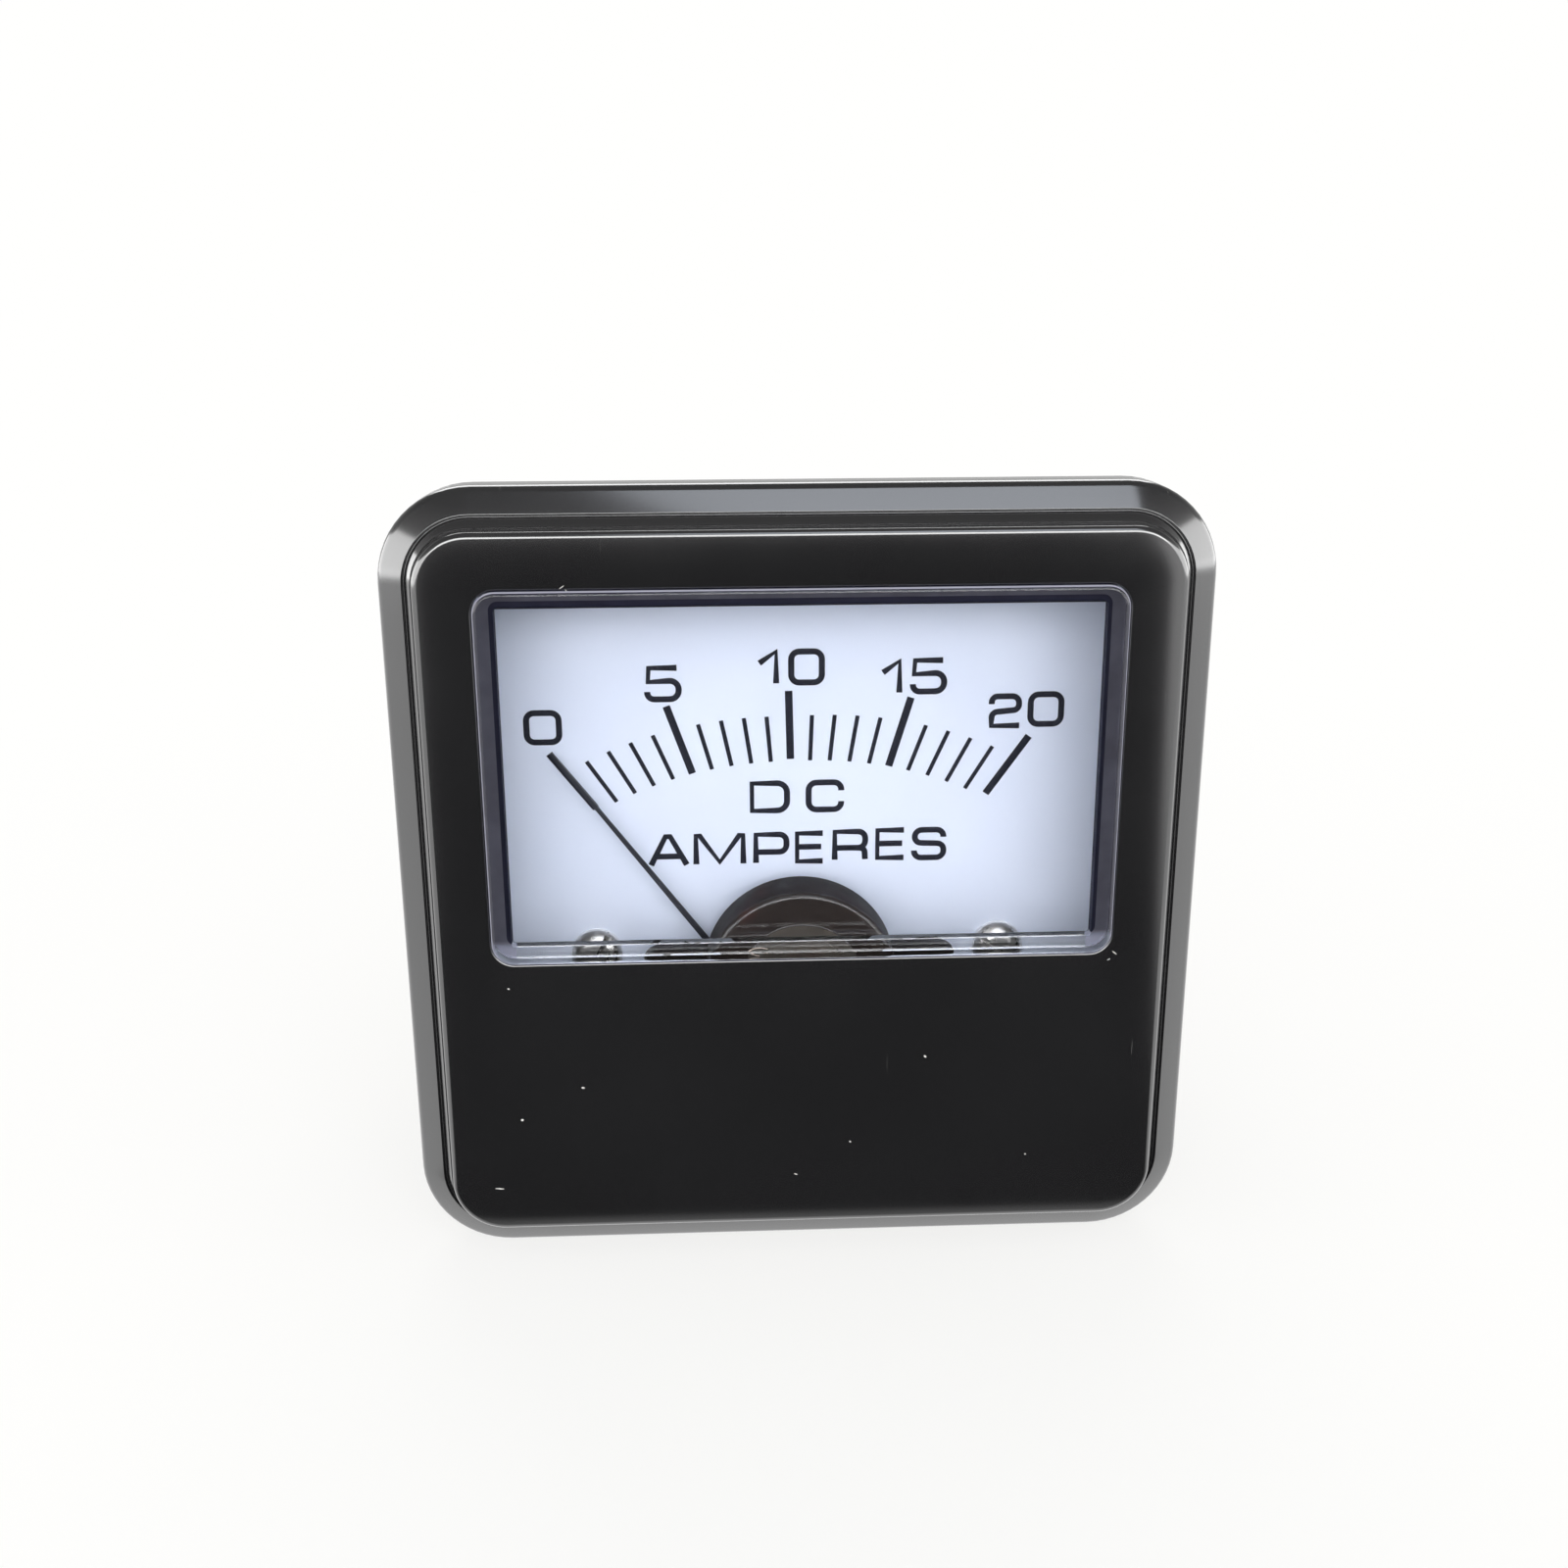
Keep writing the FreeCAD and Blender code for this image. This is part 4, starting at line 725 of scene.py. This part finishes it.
class AMMETER_OT_screws(bpy.types.Operator):
    """Bright domed dial screws"""
    bl_idname = "ammeter.screws"
    bl_label = "Dial screws"

    def execute(self, context):
        shape = bmesh.new()
        for x, turn in ((-15.2 * MM, 0.5), (15.2 * MM, -0.9)):
            slotted_dome(shape, x, -7.3 * MM, turn)
        finish = metal("screw_nickel", (0.86, 0.84, 0.81), 0.26, amount=0.3)
        finished("dial_screw_pair", shape, [finish], stands_for=("dial_screws",))
        return {"FINISHED"}


NUT_FLATS = 8.0 * MM
NUT_BORE = 2.56 * MM
NUT_SLOPE = math.tan(math.radians(30))
# The nuts on each stud, from one depth to another.
NUT_SPANS = ((26.0 * MM, 29.5 * MM), (34.3 * MM, 37.8 * MM), (39.0 * MM, 42.5 * MM))


def hex_reach(angle, flats):
    """From a hexagon's centre to its side at this angle, with flats above and below."""
    local = (angle - math.pi / 2 + math.pi / 6) % (math.pi / 3) - math.pi / 6
    return flats / 2 / math.cos(local)


def chamfered_nut(shape, x, low, high, chamfer):
    """A hexagon nut with its corners chamfered at both ends and a plain bore."""
    made = bmesh.ops.create_circle(shape, cap_ends=False, segments=72, radius=1.0)
    start = set(made["verts"])
    ring = [edge for edge in shape.edges if edge.verts[0] in start and edge.verts[1] in start]
    angles = {vert: math.atan2(vert.co.y, vert.co.x) for vert in start}
    # Each ring's depth, its outline (True the hexagon, False the chamfer's rim, None the bore) and
    # the way in which its corners slope.
    rings = ((low, False, 0), (low, True, 1), (high, True, -1), (high, False, 0), (high, None, 0),
             (low, None, 0), (low, False, 0))
    for step, (depth, full, sign) in enumerate(rings):
        if step:
            verts, ring = fresh_ring(bmesh.ops.extrude_edge_only(shape, edges=ring)["geom"])
            for vert in verts:
                angles[vert] = math.atan2(vert.co.z, vert.co.x - x)
        else:
            verts = list(start)
        for vert in verts:
            reach = hex_reach(angles[vert], NUT_FLATS)
            cropped = min(reach, chamfer)
            radius = NUT_BORE if full is None else (reach if full else cropped)
            drop = (reach - cropped) * NUT_SLOPE * sign
            vert.co = (x + radius * math.cos(angles[vert]), depth + drop, radius * math.sin(angles[vert]))


class AMMETER_OT_terminals(bpy.types.Operator):
    """Threaded studs and their chamfered nuts"""
    bl_idname = "ammeter.terminals"
    bl_label = "Terminals"

    def execute(self, context):
        settings = context.scene.ammeter_terminals
        pitch = settings.pitch
        crest = 2.49 * MM
        root = crest - settings.depth
        # The thread's first depth and its length, and the faces in each of its turns.
        first = 25.0 * MM
        turns = int(18.6 * MM / pitch)
        facets = 24
        studs = bmesh.new()
        nuts = bmesh.new()
        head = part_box("terminal_studs")[0].y
        neck = head + 2.0 * MM
        core = millimetres([(0, 44.0), (1.9, 44.0), (2.15, 43.7), (2.15, 25.0)])
        seat = [(crest, first), (crest, neck), (3.4 * MM, neck), (3.4 * MM, head), (0.0, head)]
        ridge = [(root, 0.0), (crest, 0.42 * pitch), (crest, 0.52 * pitch), (root, 0.94 * pitch),
                 (root, pitch)]
        for x in TERMINALS:
            lathe(studs, core + seat, Vector((x, 0.0, 0.0)), 32)
            verts = [studs.verts.new((x + radius, first - pitch + rise, 0.0)) for radius, rise in ridge]
            edges = [studs.edges.new(pair) for pair in zip(verts, verts[1:])]
            bmesh.ops.spin(studs, geom=verts + edges, cent=(x, 0.0, 0.0), axis=(0.0, 1.0, 0.0),
                           dvec=(0.0, pitch / facets, 0.0), angle=math.tau * turns, steps=facets * turns,
                           use_merge=False, use_duplicate=False)
            for low, high in NUT_SPANS:
                chamfered_nut(nuts, x, low, high, settings.chamfer)
        brass = metal("stud_brass", (0.70, 0.50, 0.22), 0.26, (1.0, 4.0, 1.0), (0.30, 0.18, 0.07))
        finished("stud_threads", studs, [brass], sharp=25.0, stands_for=("terminal_studs",))
        plated = metal("nut_nickel", (0.66, 0.62, 0.55), 0.24, (1.0, 3.0, 1.0), (0.38, 0.32, 0.24), 0.4)
        finished("nut_set", nuts, [plated], sharp=20.0, stands_for=("terminal_nuts",))
        return {"FINISHED"}


# Small marks: (x, z, length, width, turn), in millimetres on the bezel's face.
NICKS = [
    (-15.97, -14.29, 0.28, 0.14, 0.2), (-20.46, -16.77, 0.22, 0.2, 0.0), (8.79, -12.42, 0.26, 0.16, 0.9),
    (-22.39, -22.36, 0.75, 0.1, 0.1), (-0.61, -21.78, 0.3, 0.1, 0.4), (3.4, -19.2, 0.18, 0.12, 1.1),
    (-15.9, 22.2, 0.45, 0.06, -0.6), (-15.6, 21.95, 0.3, 0.05, 0.9), (-20.9, -6.4, 0.2, 0.12, 0.3),
    (22.2, -4.6, 0.5, 0.07, 0.7), (21.8, -5.1, 0.3, 0.06, -0.5), (16.4, -20.6, 0.16, 0.12, 0.0),
]


class AMMETER_OT_marks(bpy.types.Operator):
    """Nicks and dust on the bezel's face, and the curl of wire on the bridge's boss"""
    bl_idname = "ammeter.marks"
    bl_label = "Nicks and wire curl"

    def execute(self, context):
        shape = bmesh.new()
        for x, z, length, width, turn in NICKS:
            made = bmesh.ops.create_icosphere(shape, subdivisions=1, radius=0.5 * MM)
            squeeze = Matrix.Diagonal((length, 0.05, width, 1.0))
            place = Matrix.Translation((x * MM, FACE, z * MM)) @ Matrix.Rotation(turn, 4, "Y")
            bmesh.ops.transform(shape, matrix=place @ squeeze, verts=made["verts"])
        finish, tree, shader, coords = new_finish("dust_fleck")
        fleck = noise(tree, coords, 0.1 * MM, 2.0)
        tree.links.new(tint(tree, fleck, (0.35, 0.34, 0.32), (0.75, 0.74, 0.72)), shader.inputs["Base Color"])
        shader.inputs["Roughness"].default_value = 0.7
        finished("bezel_nicks", shape, [finish])

        # The curl's middle, the wire's radius and the loop's.
        curl = bmesh.new()
        centre = Vector((-3.1 * MM, -8.78 * MM, -4.62 * MM))
        gauge = 0.06 * MM
        loop = 0.42 * MM
        ring = bmesh.ops.create_circle(curl, cap_ends=True, segments=10, radius=gauge)
        lift = Matrix.Translation(centre + Vector((loop, 0.0, 0.0)))
        bmesh.ops.transform(curl, matrix=lift, verts=ring["verts"])
        faces = curl.faces[:]
        bmesh.ops.spin(curl, geom=faces, cent=centre, axis=(0.0, 1.0, 0.0), dvec=(0.0, 0.0, 0.0),
                       angle=math.radians(-230), steps=36, use_merge=False, use_duplicate=False)
        bmesh.ops.transform(curl, matrix=Matrix.Translation(centre) @ Matrix.Diagonal((1.7, 1.0, 0.75, 1.0))
                            @ Matrix.Rotation(math.radians(-40), 4, "Y") @ Matrix.Translation(-centre),
                            verts=curl.verts)
        wire = metal("curl_bronze", (0.34, 0.28, 0.24), 0.35)
        finished("wire_curl", curl, [wire])
        return {"FINISHED"}


class AMMETER_OT_finishes(bpy.types.Operator):
    """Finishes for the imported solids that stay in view"""
    bl_idname = "ammeter.finishes"
    bl_label = "Finishes"

    def execute(self, context):
        moulding = context.scene.ammeter_moulding
        dial = context.scene.ammeter_dial
        zinc = metal("zinc_plate", (0.58, 0.60, 0.62), 0.3, (1.0, 1.0, 5.0), (0.42, 0.40, 0.33), 0.5)
        nickel = metal("hidden_nickel", (0.66, 0.64, 0.60), 0.24)
        brass = metal("bright_brass", (0.72, 0.52, 0.24), 0.25)
        bronze = metal("spring_strip", (0.62, 0.40, 0.20), 0.28)
        iron = metal("soft_iron_plate", (0.40, 0.40, 0.41), 0.4, (1.0, 4.0, 1.0), (0.22, 0.18, 0.15))
        cast = metal("cast_plate", (0.60, 0.60, 0.61), 0.45)
        magnet = metal("magnet_block", (0.26, 0.26, 0.27), 0.5, tarnish=(0.14, 0.12, 0.11))
        shunt = metal("shunt_strip_alloy", (0.62, 0.50, 0.40), 0.3, (4.0, 1.0, 1.0), (0.40, 0.24, 0.18))
        blade = moulded("pointer_lacquer", (0.012, 0.013, 0.020), 0.4, 1.5 * MM, 0.1 * MM)
        case = moulded("case_phenolic", moulding.case, 0.36, 9.0 * MM, 0.35 * MM)
        plan = {
            "rear_case": case, "dial_plate": dial_enamel(dial), "pointer": blade,
            "mounting_bracket": zinc, "lock_washers": zinc, "flat_washers": nickel,
            "stud_insulators": fibre(), "moving_coil": wound_wire(), "coil_former": cast,
            "coil_leads": bronze, "magnet": magnet, "pole_pieces": iron, "core": iron,
            "core_holder": brass, "movement_frame": cast, "rear_bridge": brass,
            "hairspring_front": bronze, "hairspring_rear": bronze, "jewel_screw_front": brass,
            "jewel_screw_rear": brass, "pointer_stops": brass, "pointer_hub": cast,
            "balance_weights": bronze, "pivot_staff": nickel, "shunt_strip": shunt,
            "frame_screws": nickel, "bridge_screws": nickel,
        }
        for node_name, finish in plan.items():
            dress(node_name, finish)
        replaced = {"bezel", "window", "front_bridge", "dial_screws", "terminal_studs", "terminal_nuts"}
        left = set(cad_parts) - set(plan) - replaced
        if left:
            raise RuntimeError("nodes with no finish: %s" % sorted(left))
        return {"FINISHED"}


# Stage

def softbox(name, place, aim, wide, tall, watts, colour=(1.0, 1.0, 1.0)):
    """A large soft lamp that faces a point."""
    lamp = bpy.data.lights.new(name, "AREA")
    lamp.shape = "RECTANGLE"
    lamp.size = wide
    lamp.size_y = tall
    lamp.energy = watts
    lamp.color = colour
    thing = bpy.data.objects.new(name, lamp)
    bpy.context.scene.collection.objects.link(thing)
    thing.location = place
    thing.rotation_euler = (Vector(aim) - Vector(place)).to_track_quat("-Z", "Y").to_euler()


def pale_floor(settings):
    """Pale floor that reads as white to the eye and keeps a faint shadow. Glossy rays see it as a glow, a
    painted
    reflection: white at the sides and close to the meter, and dim in front, a painted shade in what the face
    reflects."""
    finish, tree, shader, coords = new_finish("stage_floor")
    cloud = noise(tree, coords, 60.0 * MM, 2.0)
    tree.links.new(tint(tree, cloud, shade(settings.floor, 0.98), shade(settings.floor, 1.02)),
                   shader.inputs["Base Color"])
    shader.inputs["Roughness"].default_value = 0.9
    shader.inputs["Specular IOR Level"].default_value = 0.1
    parts = tree.nodes.new("ShaderNodeSeparateXYZ")
    tree.links.new(coords, parts.inputs["Vector"])
    distance = tree.nodes.new("ShaderNodeVectorMath")
    distance.operation = "LENGTH"
    tree.links.new(coords, distance.inputs[0])
    aside = tree.nodes.new("ShaderNodeMath")
    aside.operation = "ABSOLUTE"
    tree.links.new(parts.outputs["X"], aside.inputs[0])
    wedge = tree.nodes.new("ShaderNodeMath")
    wedge.operation = "MULTIPLY_ADD"
    wedge.inputs[1].default_value = 0.31
    tree.links.new(parts.outputs["Y"], wedge.inputs[0])
    tree.links.new(aside.outputs["Value"], wedge.inputs[2])
    sides = band(tree, wedge.outputs["Value"], 25.0 * MM, 33.0 * MM)
    near = band(tree, parts.outputs["Y"], -16.5 * MM, -12.5 * MM)
    painted_reflection_mask = product(tree, sides, near, "MAXIMUM")

    # Painted reflection: for glossy rays the floor is a glow in place of its lit colour. It is bright at the
    # sides and close to the meter, and dim in front, a painted shade there.
    rays = tree.nodes.new("ShaderNodeLightPath")
    painted_reflection_glow = tree.nodes.new("ShaderNodeEmission")
    tree.links.new(band(tree, painted_reflection_mask, 0.0, 1.0, 0.05, 1.0), painted_reflection_glow.inputs["Strength"])
    glow = tree.nodes.new("ShaderNodeEmission")
    glow.inputs["Color"].default_value = (1.0, 1.0, 0.99, 1.0)
    share = band(tree, distance.outputs["Value"], 60.0 * MM, 190.0 * MM, 0.74, 1.0)
    seen = product(tree, rays.outputs["Is Camera Ray"], share)
    first = tree.nodes.new("ShaderNodeMixShader")
    tree.links.new(seen, first.inputs["Fac"])
    tree.links.new(shader.outputs["BSDF"], first.inputs[1])
    tree.links.new(glow.outputs["Emission"], first.inputs[2])
    second = tree.nodes.new("ShaderNodeMixShader")
    tree.links.new(rays.outputs["Is Glossy Ray"], second.inputs["Fac"])
    tree.links.new(first.outputs["Shader"], second.inputs[1])
    tree.links.new(painted_reflection_glow.outputs["Emission"], second.inputs[2])
    output = next(node for node in tree.nodes if node.type == "OUTPUT_MATERIAL")
    tree.links.new(second.outputs["Shader"], output.inputs["Surface"])
    return finish


class AMMETER_OT_stage(bpy.types.Operator):
    """Floor, white surround, soft lamps and the camera"""
    bl_idname = "ammeter.stage"
    bl_label = "Stage"

    def execute(self, context):
        settings = context.scene.ammeter_stage
        scene = context.scene
        scene.view_settings.view_transform = "Standard"
        shape = bmesh.new()
        bmesh.ops.create_grid(shape, x_segments=2, y_segments=2, size=3.0)
        bmesh.ops.translate(shape, verts=shape.verts, vec=(0.0, 0.0, cad_box[0][2]))
        data = bpy.data.meshes.new("floor")
        shape.to_mesh(data)
        shape.free()
        data.materials.append(pale_floor(settings))
        floor = bpy.data.objects.new("floor", data)
        scene.collection.objects.link(floor)

        world = bpy.data.worlds.new("surround")
        scene.world = world
        world.use_nodes = True
        tree = world.node_tree
        sky = next(node for node in tree.nodes if node.type == "BACKGROUND")
        sky.inputs["Color"].default_value = (1.0, 1.0, 0.99, 1.0)
        rays = tree.nodes.new("ShaderNodeLightPath")
        seen = product(tree, rays.outputs["Is Camera Ray"], rays.outputs["Is Transmission Ray"], "MAXIMUM")
        strength = band(tree, seen, 0.0, 1.0, 0.55, 1.0)
        # Glossy rays see the sky dimmer overhead, a painted shade in reflections, so that the rim's corners
        # stay dark.
        way = tree.nodes.new("ShaderNodeTexCoord")
        parts = tree.nodes.new("ShaderNodeSeparateXYZ")
        tree.links.new(way.outputs["Generated"], parts.inputs["Vector"])
        overhead = band(tree, parts.outputs["Z"], 0.1, 0.7, 0.0, 0.38)
        dim = product(tree, rays.outputs["Is Glossy Ray"], overhead)
        tree.links.new(product(tree, strength, dim, "SUBTRACT"), sky.inputs["Strength"])

        middle = (0.0, -0.005, 0.0)
        softbox("lamp_over", (0.085, -0.38, 0.42), middle, 0.25, 0.26, 0.36, (0.86, 0.91, 1.0))
        softbox("lamp_front", (0.02, -0.64, 0.22), middle, 0.80, 0.24, 3.1)
        softbox("lamp_left", (-0.52, -0.16, 0.04), middle, 1.20, 0.36, 3.9)
        softbox("lamp_right", (0.52, -0.16, 0.04), middle, 1.20, 0.36, 3.6)
        softbox("lamp_back", (0.0, 0.45, 0.40), middle, 0.60, 0.30, 1.6)

        lens = bpy.data.cameras.new("camera")
        lens.lens = settings.lens
        lens.sensor_width = 36.0
        lens.clip_start = 0.01
        camera = bpy.data.objects.new("camera", lens)
        scene.collection.objects.link(camera)
        camera.location = (-5.815 * MM, -118.511 * MM, 41.876 * MM)
        camera.rotation_euler = (math.radians(72.702), math.radians(0.241), math.radians(-2.455))
        scene.camera = camera
        return {"FINISHED"}


class AMMETER_PT_panel(bpy.types.Panel):
    """Lists the piece groups and their settings"""
    bl_idname = "AMMETER_PT_panel"
    bl_label = "Panel ammeter"
    bl_space_type = "VIEW_3D"
    bl_region_type = "UI"
    bl_category = "Ammeter"

    def draw(self, context):
        column = self.layout.column()
        for group in SETTINGS:
            settings = getattr(context.scene, group)
            for name in settings.__annotations__:
                column.prop(settings, name)
        for operator in OPERATORS:
            column.operator(operator.bl_idname)


OPERATORS = (AMMETER_OT_stage, AMMETER_OT_bezel, AMMETER_OT_window, AMMETER_OT_print,
             AMMETER_OT_bridge, AMMETER_OT_screws, AMMETER_OT_terminals, AMMETER_OT_marks,
             AMMETER_OT_finishes)
SETTINGS = {
    "ammeter_bezel": BezelSettings,
    "ammeter_dial": DialSettings,
    "ammeter_moulding": MouldingSettings,
    "ammeter_terminals": TerminalSettings,
    "ammeter_stage": StageSettings,
}


def register():
    for owner in SETTINGS.values():
        bpy.utils.register_class(owner)
    for name, owner in SETTINGS.items():
        setattr(bpy.types.Scene, name, PointerProperty(type=owner))
    for owner in (*OPERATORS, AMMETER_PT_panel):
        bpy.utils.register_class(owner)


def unregister():
    for owner in (AMMETER_PT_panel, *reversed(OPERATORS)):
        bpy.utils.unregister_class(owner)
    for name in SETTINGS:
        delattr(bpy.types.Scene, name)
    for owner in SETTINGS.values():
        bpy.utils.unregister_class(owner)


def main():
    register()
    bpy.ops.ammeter.stage()
    bpy.ops.ammeter.bezel()
    bpy.ops.ammeter.window()
    bpy.ops.ammeter.print()
    bpy.ops.ammeter.bridge()
    bpy.ops.ammeter.screws()
    bpy.ops.ammeter.terminals()
    bpy.ops.ammeter.marks()
    bpy.ops.ammeter.finishes()


if __name__ == "__main__":
    main()
